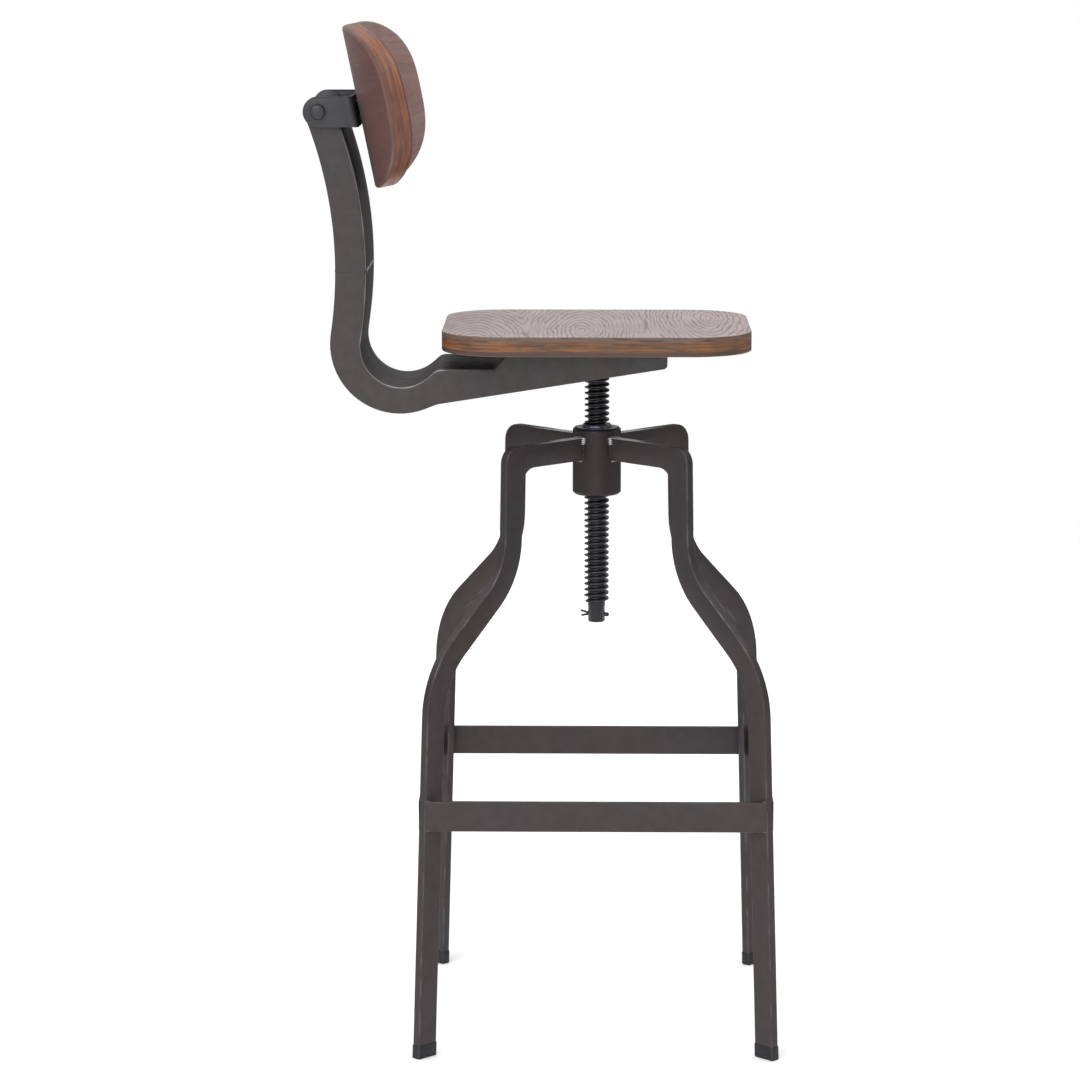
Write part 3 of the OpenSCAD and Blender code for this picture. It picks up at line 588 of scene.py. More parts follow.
def split_pin():
    """The doubled wire: one tail, the eye, and the other tail back, which ends a little shorter."""
    up = pin_wire + 0.03
    tail = [(-17.3, 2.7), (-15.5, 2.45), (-12.5, 1.75), (-10.8, 1.2), (-9.6, up), (-8, up), (0, up),
            (8.5, up), (9.8, up + 0.1)]
    eye = [(eye_middle + eye_radius * math.cos(math.radians(a)), eye_radius * math.sin(math.radians(a)))
           for a in range(120, -121, -20)]
    back = [(x, -z) for x, z in tail[::-1]]
    back[-1] = (-16.2, -2.6)
    tilt = Matrix.Rotation(math.radians(pin_tilt), 3, "Y")
    path = [tilt @ Vector((x, 0, z)) + Vector((0, 0, pin_height)) for x, z in tail + eye + back]
    fine = [a.lerp(b, k / 3) for a, b in zip(path, path[1:]) for k in range(3)] + [path[-1]]
    return along(fine, [(pin_wire, pin_wire * 1.25)] * len(fine), [0.25] * len(fine))


piece("stop_pin", split_pin(), black, "seat_unit", "black_steel", "split_pin", crease=60)

# Screw flange. A thick turned disc under the seat channel, welded round the screw's shank, which
# spreads the load of the seat. It is lacquered dark, and its weld is a rippled fillet.
flange_radius, flange_under, fillet_size = 38, 729.5, 2.6
flange_profile = ((shank_radius, flange_under, 0), (flange_radius - 1.6, flange_under, 0),
                  (flange_radius - 0.9, flange_under + 0.15, 0.7), (flange_radius, flange_under + 1.0, 0.6),
                  (flange_radius, flange_under + 1.5, 0), (flange_radius, web_under - 0.8, 0),
                  (flange_radius - 0.5, web_under, 0.5), (shank_radius, web_under, 0))
piece("flange_disc", turned(flange_profile), dark_lacquer, "seat_unit", "dark_steel", "screw_flange")


def ring_bead(radius, z, thickness, ripples, shine):
    """A rippled bead right round a shaft, closed on itself, with shine on its ripples painted as glints."""
    around, rings = ripples * 4, []
    for k in range(around):
        a = math.tau * k / around
        size, up = rippled(math.pi * k / 4)
        reach = [(radius + thickness * size * math.cos(t), thickness * size * math.sin(t))
                 for t in (math.tau * m / 10 for m in range(10))]
        rings.append([(r * math.cos(a), r * math.sin(a), z + rise, shine * up) for r, rise in reach])
    return skin(rings, rows_closed=True)


piece("flange_weld_bead", ring_bead(shank_radius + 0.3, flange_under, fillet_size, 34, 0.5), lacquered_weld,
      "seat_unit", "dark_steel", "flange_weld")

# Seat channel. One wide channel of bent sheet carries the seat and runs back and up to the backrest.
# It is welded from a lower and an upper length, so each piece is a skin over U-shaped sections.
channel_half, sheet, channel_front, web_top, front_depth = 71, 3, 74.2, 738.5, 19.8
shelf_height, shelf_x, step_x, step_round, shelf_round = 717.7, -107.5, -91.25, 5, 12
bend_centre, web_shift, bend_web, bend_rear = Vector((-208, 744)), Vector((1.3, -2.8)), 42.5, 73.5
rise_angle, web_lean, rear_lean, web_lean_back, rear_lean_back = 40.5, 8, 8.5, 20, 20.5
under_slope, under_climb, under_round = 8.95, 21.8, 30
pivot_x, pivot_height, end_radius, seam_height = -291.5, 988, 15.75, 821
web_round, upright_round = 450, 438
end_middle = Vector((pivot_x + 0.8, pivot_height))
edge_soft, edge_turn, front_round = 0.6, 0.18, 4
web_step, upright_step = 7, 5


def slope(angle):
    """Way that climbs at an angle."""
    return Vector((math.cos(math.radians(angle)), math.sin(math.radians(angle))))


def on_bend(radius, angle):
    """Point on a circle about the middle of the bend, by its angle from straight down."""
    return bend_centre + slope(angle - 90) * radius


def on_web_bend(angle):
    return on_bend(bend_web, angle) + web_shift


def meet(p, a, q, b):
    """Where a line through p that climbs at angle a meets one through q that climbs at angle b."""
    m, n = slope(a), slope(b)
    return p + m * (((q.x - p.x) * n.y - (q.y - p.y) * n.x) / (m.x * n.y - m.y * n.x))


def web_and_rear():
    """Side view of the web and of the flanges' rear edge, each as a fine path from front to top."""
    rise = on_web_bend(rise_angle)
    web_bend = meet(on_web_bend(-90 - web_lean), 90 - web_lean, rise, rise_angle)
    top = end_middle + slope(web_lean_back) * end_radius
    web = rounded_path(
        [Vector((channel_front, web_top)), Vector((step_x, web_top)), Vector((shelf_x, shelf_height)),
         meet(rise, rise_angle, Vector((0, shelf_height)), 0), web_bend,
         meet(web_bend, 90 - web_lean, top, 90 + web_lean_back), top],
        [0, step_round, step_round, shelf_round, bend_web, web_round, 0], 28)
    climb, low = on_bend(bend_rear, under_climb), Vector((channel_front, web_top - front_depth))
    rear_bend = meet(on_bend(bend_rear, -90 - rear_lean), 90 - rear_lean, climb, under_climb)
    top = end_middle - slope(rear_lean_back) * end_radius
    rear = rounded_path(
        [low, meet(climb, under_climb, low, under_slope), rear_bend,
         meet(rear_bend, 90 - rear_lean, top, 90 + rear_lean_back), top],
        [0, under_round, bend_rear, upright_round, 0], 40)
    rear.append(top + slope(90 + rear_lean_back) * 5)
    return web, rear


web_path, rear_path = web_and_rear()


def rear_hit(start, way):
    """Where a line from the web first meets the rear edge."""
    hits = []
    for a, b in zip(rear_path, rear_path[1:]):
        edge, gap = b - a, a - start
        spread_of = way.x * edge.y - way.y * edge.x
        if abs(spread_of) > 1e-9:
            far = (gap.x * edge.y - gap.y * edge.x) / spread_of
            share = (gap.x * way.y - gap.y * way.x) / spread_of
            if -1e-6 <= share <= 1 + 1e-6 and far > 1:
                hits.append(far)
    return start + way * min(hits)


def web_at(height):
    """Web point and web direction at a height of the upright."""
    for a, b in zip(web_path[::-1][1:], web_path[::-1]):
        if a.y <= height <= b.y:
            return at_height(a, b, height), (b - a).normalized()
    return web_path[-1], (web_path[-1] - web_path[-2]).normalized()


def channel_stations(from_height, to_height):
    """Stations of a length of the channel: web point, angle of the way to the rear edge, web direction."""
    found = []
    bend_end = on_web_bend(-90 - web_lean).y
    if from_height < web_top:
        for back in (0, 0.3, 0.9, 1.7, 2.8, 4.0):
            found.append((Vector((channel_front - back, web_top)), 0, Vector((-1, 0))))
        for a, b in zip(web_path, web_path[1:]):
            steps = max(1, math.ceil((b - a).length / web_step))
            for k in range(steps):
                here = a.lerp(b, k / steps)
                off = here - bend_centre - web_shift
                if here.x < channel_front - 4.5 and not (off.x < 0 and here.y > bend_end):
                    angle = math.degrees(math.atan2(off.x, -off.y)) if off.x < 0 else 0
                    found.append((here, angle, (b - a).normalized()))
        from_height = bend_end
    steps = round((to_height - from_height) / upright_step)
    for k in range(steps + 1):
        height = from_height + (to_height - from_height) * k / steps
        here, ahead = web_at(height)
        if height < seam_height:
            angle = -90 - web_lean * (seam_height - height) / (seam_height - bend_end)
        else:
            angle = -90 + web_lean_back * (height - seam_height) / (web_path[-1].y - seam_height)
        found.append((here, angle, ahead))
    return found


def cut_edge(end, way, outside, inside, rubbed_and_highlit, flat_wear):
    """Cut edge of a sheet in section, from its outer to its inner face, with both corners softened and marked
    lighter, worn and partly a painted highlight.
    """
    outer = [(end - way * edge_soft, outside, 0), (end - way * edge_turn, outside - edge_turn, rubbed_and_highlit),
             (end, outside - edge_soft, flat_wear)]
    return outer + [(x, outside + inside - y, wear_and_shine) for x, y, wear_and_shine in outer[::-1]]


def half_section(here, way, ahead, far, fillet, inner_fillet, web=True):
    """Left half of the channel's section, from the middle of the web out, round and back."""
    inward = Vector((-ahead.y, ahead.x))
    through, inside = sheet / abs(inward.dot(way)), channel_half - sheet
    # The outer bend between web and flange is marked up to 1.4: a painted highlight line, partly near white.
    flat = [(fillet * (1 - math.cos(t)), channel_half - fillet * (1 - math.sin(t)), 1.4 * math.sin(2 * t))
            for t in (math.radians(18 * k) for k in range(6))]
    flat += cut_edge(far, 1, channel_half, inside, 1, 0.5)
    if web:
        flat += [(through + inner_fillet * (1 - math.sin(t)), inside - inner_fillet * (1 - math.cos(t)), 0)
                 for t in (math.radians(30 * k) for k in range(4))]
        flat = [(0, 0, 0)] + flat + [(through, 0, 0)]
    else:
        flat += [(edge_soft - 0.1 * k, inside + 0.03 * k, 0.25 * k) for k in range(4)]
        flat = [(0, inside + edge_soft, 0.5)] + flat + [(edge_turn, inside + edge_turn, 1)]
    return [(here.x + way.x * s, y, here.y + way.y * s, w) for s, y, w in flat]


def channel_skin(stations, with_ears):
    """Skin of a length of the channel, both halves, with the round ears above the web's top edge."""
    rings = []
    for here, angle, ahead in stations:
        way = slope(angle - 90)
        far = (rear_hit(here, way) - here).length
        from_end = channel_front - here.x
        if from_end < front_round:
            far += math.sqrt(front_round ** 2 - (front_round - from_end) ** 2) - front_round
        taper = min(1.0, max(0.0, (web_path[-1].y - here.y) / 12)) if with_ears else 1.0
        rings.append(half_section(here, way, ahead, far, 0.6 + 1.8 * taper, 0.3 + 0.4 * taper))
    web_rings = len(rings)
    if with_ears:
        lean_back = (web_lean_back + rear_lean_back) / 2
        up, front = slope(90 + lean_back), slope(lean_back)
        rings.append(half_section(here, way, ahead, far, 0.6, 0.3, web=False))
        for t in (6, 14, 22, 30, 38, 46, 54, 62, 69, 75, 80, 84, 86.5):
            a = math.radians(t)
            middle = end_middle + up * end_radius * math.sin(a)
            reach = front * end_radius * math.cos(a)
            rings.append(half_section(middle + reach, -front, up, 2 * reach.length, 0.6, 0.3, web=False))
    count = len(rings[0])
    faces = [tuple(range(count)), tuple(range((len(rings) - 1) * count, len(rings) * count))]
    for i in range(len(rings) - 1):
        for k in range(count):
            if k == count - 1 and i < web_rings - 1 or k == 0 and i == web_rings - 1:
                continue
            m = (k + 1) % count
            faces.append((i * count + k, i * count + m, (i + 1) * count + m, (i + 1) * count + k))
    points = [p for ring in rings for p in ring]
    return merged([(points, faces), ([(x, -y, z, w) for x, y, z, w in points], faces)])


channel_lacquer = lacquered_steel("channel_lacquer", (0.068, 0.066, 0.070), (0.075, 0.067, 0.066),
                                  (0.26, 0.26, 0.27), 0.38, 0.48)
piece("channel_lower", channel_skin(channel_stations(0, seam_height), False), channel_lacquer,
      "seat_unit", "gunmetal_steel", "lower_channel")
piece("channel_upper", channel_skin(channel_stations(seam_height, web_path[-1].y), True), channel_lacquer,
      "seat_unit", "gunmetal_steel", "upper_channel")

# Channel seam. A butt weld joins the two lengths level with each other, ground nearly flush and left
# bright: a low bead that runs over both flanges and across the web.
seam_corner, seam_rise, seam_proud, rib_proud = 2.4, 1.45, 0.62, 0.16
bright_weld = weld_steel("bright_weld", (0.50, 0.51, 0.53), (0.062, 0.060, 0.061))


def seam_bead():
    """Bright across the web, and dressed down to a lacquered rib along each flange."""
    here, ahead = web_at(seam_height)
    far = (rear_hit(here, Vector((-1, 0))) - here).length
    corner = [(here.x - seam_corner * (1 - math.cos(t)), channel_half - seam_corner * (1 - math.sin(t)))
              for t in (math.radians(18 * k) for k in range(6))]
    half = [(here.x, y) for y in range(0, 69, 3)] + corner
    half += [(corner[-1][0] - (far - 3) * k / 12, channel_half) for k in range(1, 13)]
    half.append((here.x - far - 0.1, channel_half - 0.8))
    path = [Vector((x, -y, seam_height)) for x, y in half[:0:-1]]
    path += [Vector((x, y, seam_height)) for x, y in half]
    chance = random.Random(7)
    on_web = [abs(p.y) < channel_half - 3 for p in path]
    sizes = [(seam_rise * chance.uniform(0.92, 1.05),
              (seam_proud if web else rib_proud) * chance.uniform(0.85, 1.1)) for web in on_web]
    return along(path, sizes, [chance.uniform(0.6, 1.0) if web else 0.0 for web in on_web])


piece("channel_seam_bead", seam_bead(), bright_weld, "seat_unit", "bright_steel", "seam_weld")

# Seat board. Plywood with a thick walnut-like veneer on top, cut to a rounded rectangle with softened
# edges and clear matt lacquer. Threaded inserts of bright steel sit in its underside.
seat_length, seat_width, seat_thickness, seat_corner = 326, 270, 21, 65
seat_middle, seat_bottom = -0.6, 738.5
rounded_edge = ((1, 0), (0.62, 0.07), (0.29, 0.25), (0.08, 0.56), (0, 1))


def slab(outline, thickness, low_edge, high_edge, height_at, face_rings):
    """Board over an outline, its edges rounded to two radii: height_at(x, y, share) places a point."""
    levels = [(low_edge * inset, low_edge * depth, inset) for inset, depth in rounded_edge]
    levels += [(0, thickness / 2, 0)]
    levels += [(high_edge * inset, thickness - high_edge * depth, inset)
               for inset, depth in rounded_edge[::-1]]
    rings, grains = [], []

    def ring(points, depth, wear_and_shine):
        rings.append([(*height_at(p[0], p[1], depth / thickness), wear_and_shine) for p in points])
        grains.extend([(p[0] / 1000, p[1] / 1000, depth / 1000) for p in points])

    for share in face_rings[::-1]:
        ring([(p - n * low_edge) * share for p, n in outline], 0, 0)
    for inset, depth, bevel in levels:
        ring([p - n * inset for p, n in outline], depth, 1.0 if 0.2 < bevel < 0.9 else 0.0)
    for share in face_rings:
        ring([(p - n * high_edge) * share for p, n in outline], thickness, 0)
    return skin(rings), grains


def minus(first, second):
    return maths("SUBTRACT", first, second)


def oval_rings(across, grown, eye_across, eye_along, stretch):
    """Distance of growth rings about a long narrow eye, in metres across the grain."""
    a, b = minus(across, eye_across), times(minus(grown, eye_along), stretch)
    return maths("SQRT", plus(times(a, a), times(b, b)))


def veneered_board(name, thickness, line_gap, line_depth, eyes, faces, lines, edges, bands, grown_first):
    """Plywood: figured veneer on both faces, and edges with plies between two darker bands."""
    made, shader, place = new_finish(name, Specular_IOR_Level=0.4)
    grain = mark(place, "grain", 1)
    parts = add(place.id_data, "SeparateXYZ", {0: grain}).node.outputs
    grown, across = (parts[0], parts[1]) if grown_first else (parts[1], parts[0])
    depth = parts[2]

    def drawn_out(share):
        """Stretch of noise that lies along the grain."""
        return (share, 1, 1) if grown_first else (1, share, 1)

    def about_zero(value, reach):
        return times(minus(value, 0.5), reach)

    long_way = drawn_out(0.16)
    sway = about_zero(noise(grain, 24.0, 2.0, long_way), 0.020)
    shake = about_zero(noise(grain, 150.0, 3.0, long_way), 0.008)
    swayed = plus(plus(across, sway), shake)
    field = oval_rings(swayed, grown, *eyes[0])
    for eye in eyes[1:]:
        field = maths("SMOOTH_MIN", field, oval_rings(swayed, grown, *eye), 0.010)
    saw = maths("FRACT", maths("DIVIDE", field, line_gap))
    late = times(spread(saw, 0.58, 0.86), spread(saw, 1.0, 0.90))
    breaks = spread(noise(grain, 60.0, 2.0, long_way), 0.30, 0.55, 0.35, 1.0)
    line_share = times(times(late, breaks), line_depth)
    streaks = noise(grain, 90.0, 4.0, long_way)
    pitted = spread(noise(grain, 620.0, 2.0, drawn_out(0.05)), 0.60, 0.72, 0.0, 0.4 * line_depth + 0.05)
    tone = spread(times(plus(streaks, noise(grain, 14.0)), 0.5), 0.38, 0.62)
    veneers = [blend(pitted, blend(line_share, blend(tone, pale, deep), lines), lines)
               for pale, deep in (faces[:2], faces[2:])]
    flecks = noise(grain, 330.0, 4.0, (0.10, 0.10, 1))
    side = blend(spread(noise(grain, 560.0, 3.0, (0.03, 0.03, 1)), 0.38, 0.62), edges[0], edges[1])
    side = blend(spread(noise(grain, 30.0, 2.0, (1, 1, 0.4)), 0.45, 0.65, 0.0, 0.55), side, edges[2])
    low, high, top = bands[0] / 1000, (thickness - bands[1]) / 1000, thickness / 1000
    wavy = plus(depth, about_zero(flecks, 0.0016))
    side = blend(spread(wavy, low + 0.0003, low - 0.0003), side, edges[3])
    side = blend(spread(wavy, high - 0.0003, high + 0.0003), side, edges[4])
    side = blend(spread(flecks, 0.50, 0.64, 0.0, 0.7), side, edges[5])
    colour = blend(spread(depth, top - 0.0005, top - 0.0001), side, veneers[0])
    colour = blend(spread(depth, 0.0005, 0.0001), colour, veneers[1])
    colour = blend(times(mark(place, "wear_and_highlight"), 0.10), colour, (0.40, 0.30, 0.25))
    roughness = plus(spread(streaks, 0.3, 0.7, 0.42, 0.52), times(line_share, 0.06))
    height = minus(times(streaks, 0.4 * line_depth), plus(times(line_share, 0.8), pitted))
    join(shader, colour, roughness, height, 0.00008)
    return made


seat_wood = veneered_board(
    "seat_veneer", seat_thickness, line_gap=0.0046, line_depth=0.85,
    eyes=[(-0.017, -0.075, 0.17), (-0.127, -0.20, 0.18), (0.122, 0.05, 0.16)],
    faces=[(0.37, 0.305, 0.296), (0.315, 0.254, 0.25), (0.20, 0.15, 0.13), (0.15, 0.11, 0.095)],
    lines=(0.135, 0.091, 0.087),
    edges=[(0.118, 0.052, 0.025), (0.235, 0.092, 0.032), (0.105, 0.056, 0.036), (0.076, 0.042, 0.032),
           (0.125, 0.084, 0.064), (0.055, 0.034, 0.027)],
    bands=(5.0, 5.0), grown_first=False)
seat_outline = [(Vector((x, y)), Vector((math.cos(a), math.sin(a))))
                for x, y, a, _ in rounded_corners(seat_length / 2, seat_width / 2, seat_corner, 24)]
board, board_grain = slab(
    seat_outline, seat_thickness, 1.8, 1.6,
    lambda x, y, share: (x + seat_middle, y, seat_bottom + seat_thickness * share),
    (1.0, 0.8, 0.5, 0.2, 0.02))
piece("seat_board_veneered", board, seat_wood, "seat_unit", "seat_wood", "seat_board", grain=board_grain)

zinc_plate = two_toned("zinc_plate", 200.0, 4.0, (0.42, 0.43, 0.45), (0.58, 0.58, 0.58), (0.22, 0.38),
                       0.00002, reach=(0.3, 0.7), Metallic=1.0)
frame["nodes"]["seat_inserts"].data.materials.clear()
frame["nodes"]["seat_inserts"].data.materials.append(zinc_plate)

# Seat bolts. Four hexagon bolts with bright plain washers come up through the web of the channel
# into the inserts. Their heads are chamfered and blackened.
bolt_places = ((-65, -45), (-65, 45), (50, -45), (50, 45))
bolt_flats, bolt_head, bolt_radius, bolt_top = 13, 5.3, 4, 752
washer_radius, washer_bore, washer_thickness = 8.5, 4.2, 1.6
washer_under = web_under - washer_thickness


def hexagon(flats, height, bore=0.0, around=48):
    """Hexagon with chamfered corners at its top, standing on z = 0 with a corner towards x."""
    levels = [(0.0, 9.0), (0.4, 9.0), (height - 1.3, 9.0), (height - 0.9, 0.42), (height - 0.5, 0.22),
              (height - 0.15, 0.03), (height, -0.25)]
    rings = []
    for z, over in levels:
        ring = []
        for k in range(around):
            a = math.tau * k / around
            corner = flats / 2 / math.cos(a % (math.pi / 3) - math.pi / 6)
            cone = flats / 2 + over
            r = min(corner, cone)
            ring.append((r * math.cos(a), r * math.sin(a), z, 0.8 if corner > cone else 0.1))
        rings.append(ring)
    for z in (height, 0) if bore else ():
        rings.append([(bore * math.cos(a), bore * math.sin(a), z, 0)
                      for a in (math.tau * k / around for k in range(around))])
    return skin(rings, rows_closed=bool(bore))


def shifted(x, y, z=0, up=1):
    """A way that moves a shape, and hangs it upside down where up is -1."""
    return lambda a, b, c: (x + a, y + b, z + up * c)


seat_bolts, seat_washers = [], []
for x, y in bolt_places:
    seat_bolts.append(placed(hexagon(bolt_flats, bolt_head), shifted(x, y, washer_under, -1)))
    seat_bolts.append(placed(turned([
        (0, washer_under - 0.5, 0), (bolt_radius, washer_under - 0.5, 0), (bolt_radius, bolt_top - 1, 0),
        (bolt_radius - 0.6, bolt_top, 0), (0, bolt_top, 0)], 24, False), shifted(x, y)))
    seat_washers.append(placed(turned([
        (washer_bore, washer_under, 0), (washer_radius - 0.3, washer_under, 0.6),
        (washer_radius, washer_under + 0.3, 0.6), (washer_radius, web_under - 0.1, 0),
        (washer_bore, web_under - 0.1, 0)], 40), shifted(x, y)))
piece("bolts_under_seat", merged(seat_bolts), black, "seat_unit", "black_steel", "seat_bolts", crease=30)
piece("washers_under_seat", merged(seat_washers), zinc_plate, "seat_unit", "bright_steel", "seat_washers",
      crease=30)

# Pivot. A bolt with a thin hexagon head crosses the channel's top and the bracket's cheeks. Inside
# the channel it has a bright spacer, and a rubber friction washer sits between each flange and cheek.
cheek_outside, pivot_gap = 75.5, 0.3
head_flats, head_thickness, nut_flats, nut_thickness = 13.4, 4.5, 17, 8
rod_radius, loose_bore, spacer_radius, spacer_half = 5, 5.3, 8.5, 68
friction_radius, friction_thickness = 13, 1.2


def across_pivot(out=0, way=1):
    """A way that stands a turned shape on the pivot's axis, a distance out to the right-hand side."""
    return lambda x, y, z: (pivot_x + x, -out - way * z, pivot_height + y)


bracket_lacquer = lacquered_steel("bracket_lacquer", (0.064, 0.064, 0.070), (0.070, 0.068, 0.073),
                                  (0.22, 0.22, 0.23), 0.32, 0.42)
head_low = cheek_outside + pivot_gap
rod_end = -head_low - nut_thickness - 2
rod_profile = ((0, rod_end, 0), (rod_radius - 1, rod_end, 0.6), (rod_radius, rod_end + 1, 0.4),
               (rod_radius, head_low + 0.5, 0), (0, head_low + 0.5, 0))
piece("pivot_rod", merged([
    placed(hexagon(head_flats, head_thickness), across_pivot(head_low)),
    placed(turned(rod_profile, 40, False), across_pivot()),
]), bracket_lacquer, "seat_unit", "dark_steel", "pivot_bolt", crease=30)
head_washer = turned(((rod_radius, -0.25, 0), (8.5, -0.25, 0), (8.5, 0.3, 0), (rod_radius, 0.3, 0)), 48)
piece("pivot_head_washer", placed(head_washer, across_pivot(head_low)), black, "seat_unit", "black_steel")
piece("pivot_hex_nut", placed(hexagon(nut_flats, nut_thickness, rod_radius), across_pivot(-head_low, -1)),
      black, "seat_unit", "black_steel", "pivot_nut", crease=30)
spacer_end = ((spacer_radius, spacer_half - 0.4, 0.6), (spacer_radius - 0.4, spacer_half, 0.6),
              (loose_bore, spacer_half, 0))
piece("pivot_tube", placed(turned([(r, -z, w) for r, z, w in spacer_end[::-1]] + list(spacer_end), 48),
                           across_pivot()),
      zinc_plate, "seat_unit", "bright_steel", "pivot_spacer")
rubber = two_toned("black_rubber", 300.0, 4.0, (0.008, 0.008, 0.009), (0.026, 0.025, 0.025), (0.6, 0.8),
                   0.00005, reach=(0.35, 0.7), Specular_IOR_Level=0.3)
friction_profile = ((loose_bore, 0, 0), (friction_radius - 0.2, 0, 0), (friction_radius, 0.2, 0),
                    (friction_radius, 1.0, 0), (friction_radius - 0.2, friction_thickness, 0),
                    (loose_bore, friction_thickness, 0))
piece("friction_pads", merged([placed(turned(friction_profile, 48), across_pivot(out))
                               for out in (channel_half, -channel_half - friction_thickness)]),
      rubber, "seat_unit", "black_rubber", "friction_washers")

# Backrest bracket. A strip of steel bent to a wide U: its plate is screwed to the panel and leans
# with it, and its level cheeks, rounded at the rear, swing on the pivot. Lacquered dark grey.
cheek_inside, cheek_radius, plate_reach, lean = 72.5, 16, 38, math.radians(11.5)
bend_outside, bend_inside, bend_thinning = 5, 2, 0.06


def bracket_section(rise):
    """U-shaped section of the bracket at a height over the pivot, from one cheek round to the other."""
    rear = -math.sqrt(max(0.0, cheek_radius ** 2 - rise ** 2))
    front = plate_reach / math.cos(lean) - rise * math.tan(lean)
    steps = [(k / 6, math.pi / 2 * k / 6) for k in range(7)]
    # The outer bends and the rear cut edges are marked lighter: wear, and a painted highlight.
    half = [(front - bend_outside * (1 - math.cos(t)), cheek_outside - bend_outside * (1 - math.sin(t)),
             0.5 * math.sin(2 * t)) for _, t in steps]
    half += cut_edge(rear, -1, cheek_outside, cheek_inside, 0.8, 0.3)
    half += [(front - bend_outside + bend_inside * math.cos(t) - bend_thinning * share,
              cheek_inside - bend_inside * (1 - math.sin(t)), 0) for share, t in steps[::-1]]
    ring = half + [(x, -y, w) for x, y, w in half[::-1]]
    return [(pivot_x + x, y, pivot_height + rise, w) for x, y, w in ring]


bracket = skin([bracket_section(cheek_radius * math.sin(math.radians(t))) for t in range(-90, 91, 6)])
piece("backrest_bracket_bent", bracket, bracket_lacquer, "backrest", "dark_steel", "backrest_bracket")

# Backrest panel. Curved plywood pressed to an arc, cut to a full oval and softened all round, with
# walnut-like veneer on both faces and a stained edge where the plies show. Four screws hold it.
panel_width, panel_height, panel_thickness, panel_round = 300, 173.5, 19, 309
panel_fullness, panel_drop, panel_count = 3, 6, 200


def on_backrest(x, y, z):
    """Place of a point of the backrest's own frame, square to the leaning panel."""
    return (pivot_x + x * math.cos(lean) - z * math.sin(lean), y,
            pivot_height + x * math.sin(lean) + z * math.cos(lean))


def panel_outline():
    """Full oval as points (y, z) with their outward ways."""
    def at(angle):
        c, s = math.cos(angle), math.sin(angle)
        return Vector((math.copysign(abs(c) ** (2 / panel_fullness), c) * panel_width / 2,
                       math.copysign(abs(s) ** (2 / panel_fullness), s) * panel_height / 2))
    found = []
    for k in range(panel_count):
        u = (k + 0.5) / panel_count * 4
        a = math.radians(90 * (math.floor(u) + (math.sin(math.pi * (u % 1 - 0.5)) * 0.5 + 0.5)))
        ahead = (at(a + 1e-3) - at(a - 1e-3)).normalized()
        found.append((at(a), Vector((ahead.y, -ahead.x))))
    return found


def panel_place(y, z, share):
    """Place of a panel point by its share of the thickness, from the rear face to the front."""
    axis = plate_reach + panel_round
    rear = axis - math.sqrt(panel_round ** 2 - y * y)
    front = axis - math.sqrt((panel_round - panel_thickness) ** 2 - y * y)
    return on_backrest(rear + (front - rear) * share, y, z - panel_drop)


panel_wood = veneered_board(
    "panel_veneer", panel_thickness, line_gap=0.0068, line_depth=0.30,
    eyes=[(0.010, -0.020, 0.15), (-0.075, 0.10, 0.15)],
    faces=[(0.30, 0.185, 0.170), (0.245, 0.148, 0.132), (0.112, 0.041, 0.037), (0.085, 0.030, 0.027)],
    lines=(0.105, 0.055, 0.048),
    edges=[(0.120, 0.042, 0.023), (0.225, 0.080, 0.034), (0.12, 0.044, 0.030), (0.120, 0.052, 0.044),
           (0.11, 0.033, 0.026), (0.080, 0.030, 0.022)],
    bands=(3.6, 2.5), grown_first=True)
panel_sheen = panel_wood.node_tree.nodes["Principled BSDF"].inputs
panel_sheen["Sheen Weight"].default_value, panel_sheen["Sheen Roughness"].default_value = 0.10, 0.30
panel, panel_grain = slab(panel_outline(), panel_thickness, 3.6, 2.2, panel_place,
                          (1.0, 0.94, 0.88, 0.8, 0.7, 0.6, 0.5, 0.4, 0.3, 0.2, 0.1, 0.01))
piece("backrest_panel_veneered", panel, panel_wood, "backrest", "panel_wood", "backrest_panel",
      grain=panel_grain)

screw_side, screw_rise, head_height, screw_length, strip = 24, 8, 2.6, 16, 3
plate_middle = -plate_reach * math.tan(lean)
screw_profile = ((0, 0, 0), (1.6, 0, 0), (1.9, 0.5, 0.4), (3.2, 0.35, 0.5), (4.1, 1.1, 0.3), (4.4, 2.1, 0.1),
                 (4.4, head_height, 0), (2.4, head_height, 0), (2.4, head_height + screw_length - 1, 0),
                 (0, head_height + screw_length, 0))
screw_shape = turned(screw_profile, 32, False)
screw_shapes = [placed(screw_shape, lambda x, y, z: on_backrest(
    plate_reach - strip - head_height + z, side + x, plate_middle + rise + y))
    for side in (-screw_side, screw_side) for rise in (-screw_rise, screw_rise)]
piece("panel_screws", merged(screw_shapes), black, "backrest", "black_steel", "backrest_screws", crease=30)

# Studio. The stool stands on a plain pale floor under soft white light from a bright ceiling, and the
# camera looks at its right-hand side from a little above the seat.
floor_radius, floor_white = 3.2, 0.92


def stand(name, data):
    """Puts something of the studio in the scene."""
    made = bpy.data.objects.new(name, data)
    bpy.context.scene.collection.objects.link(made)
    return made


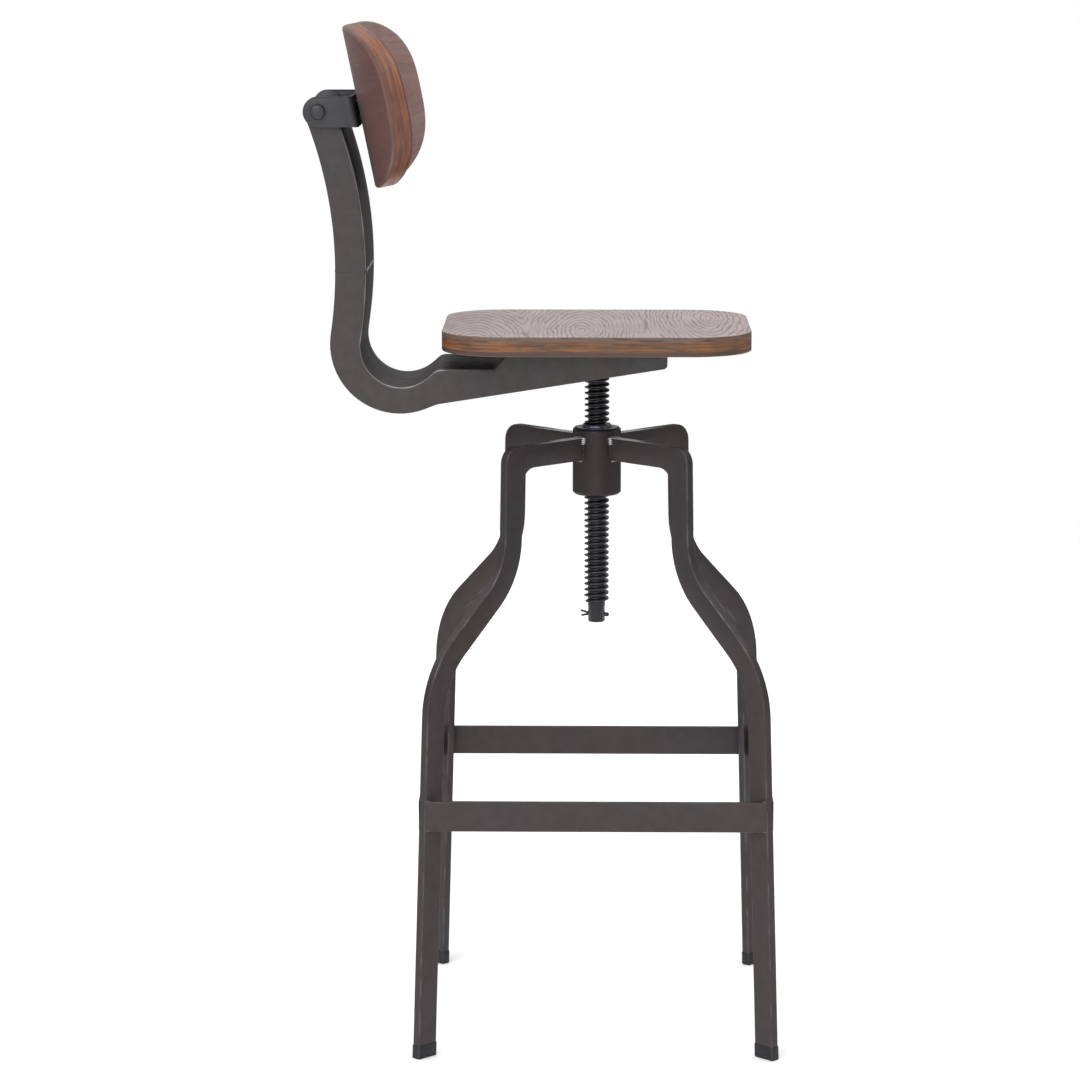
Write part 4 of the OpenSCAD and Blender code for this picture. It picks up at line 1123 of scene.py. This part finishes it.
def studio_floor():
    shell = bmesh.new()
    bmesh.ops.create_circle(shell, cap_ends=True, segments=96, radius=floor_radius)
    mesh = bpy.data.meshes.new("studio_floor")
    shell.to_mesh(mesh)
    shell.free()
    paint, shader, _ = new_finish("studio_floor_paint", Roughness=0.9, Specular_IOR_Level=0.1)
    shader.inputs["Base Color"].default_value = (floor_white, floor_white, floor_white, 1)
    mesh.materials.append(paint)
    made = stand("studio_floor", mesh)


studio_floor()


def studio_world():
    """White all round as the camera sees it. As light it is a room, dim low down, with a bright ceiling."""
    made = bpy.data.worlds.new("studio_world")
    bpy.context.scene.world = made
    made.use_nodes = True
    tree = made.node_tree
    height = add(tree, "SeparateXYZ", {0: add(tree, "TexCoord")}, out=2)
    room = spread(height, -0.10, 0.75, 0.24, 0.66)
    strength = add(tree, "Mix", {0: add(tree, "LightPath"), 2: room, 3: 1.0})
    tree.nodes["Background"].inputs[0].default_value = (1.0, 1.0, 1.0, 1)
    tree.links.new(strength, tree.nodes["Background"].inputs[1])


studio_world()


def screen(name, place, target, size, power):
    """A lit rectangle that faces a target."""
    lamp = bpy.data.lights.new(name, "AREA")
    lamp.shape, lamp.size, lamp.size_y = "RECTANGLE", *size
    lamp.energy = power
    made = stand(name, lamp)
    made.location = place
    made.rotation_euler = (Vector(target) - Vector(place)).to_track_quat("-Z", "Y").to_euler()
    made.visible_camera = False


def daylight(name, place, strength, spread_angle):
    """Wide soft light from one side of the sky."""
    lamp = bpy.data.lights.new(name, "SUN")
    lamp.energy, lamp.angle = strength, math.radians(spread_angle)
    stand(name, lamp).rotation_euler = Vector(place).to_track_quat("Z", "Y").to_euler()


daylight("ceiling_glow", (-0.1, 0.15, 1.0), 1.7, 100)
daylight("front_glow", (-0.35, -1.0, 1.05), 1.15, 45)
daylight("low_glow", (-0.1, -1.0, 0.12), 0.62, 50)
screen("screen_left", (-2.6, -2.4, 1.3), (0, 0, 0.7), (1.2, 2.2), 10)

look_down, look_aside = math.radians(9.642), math.radians(0.858)
lens = bpy.data.cameras.new("studio_camera")
lens.lens, lens.sensor_width = 125.11, 36
camera = stand("studio_camera", lens)
camera.location = (screw_x / 1000 - 0.0013, -4.0, 1.2032)
camera.rotation_euler = (math.radians(90) - look_down, 0, look_aside)
bpy.context.scene.camera = camera
bpy.context.scene.view_settings.view_transform = "Standard"
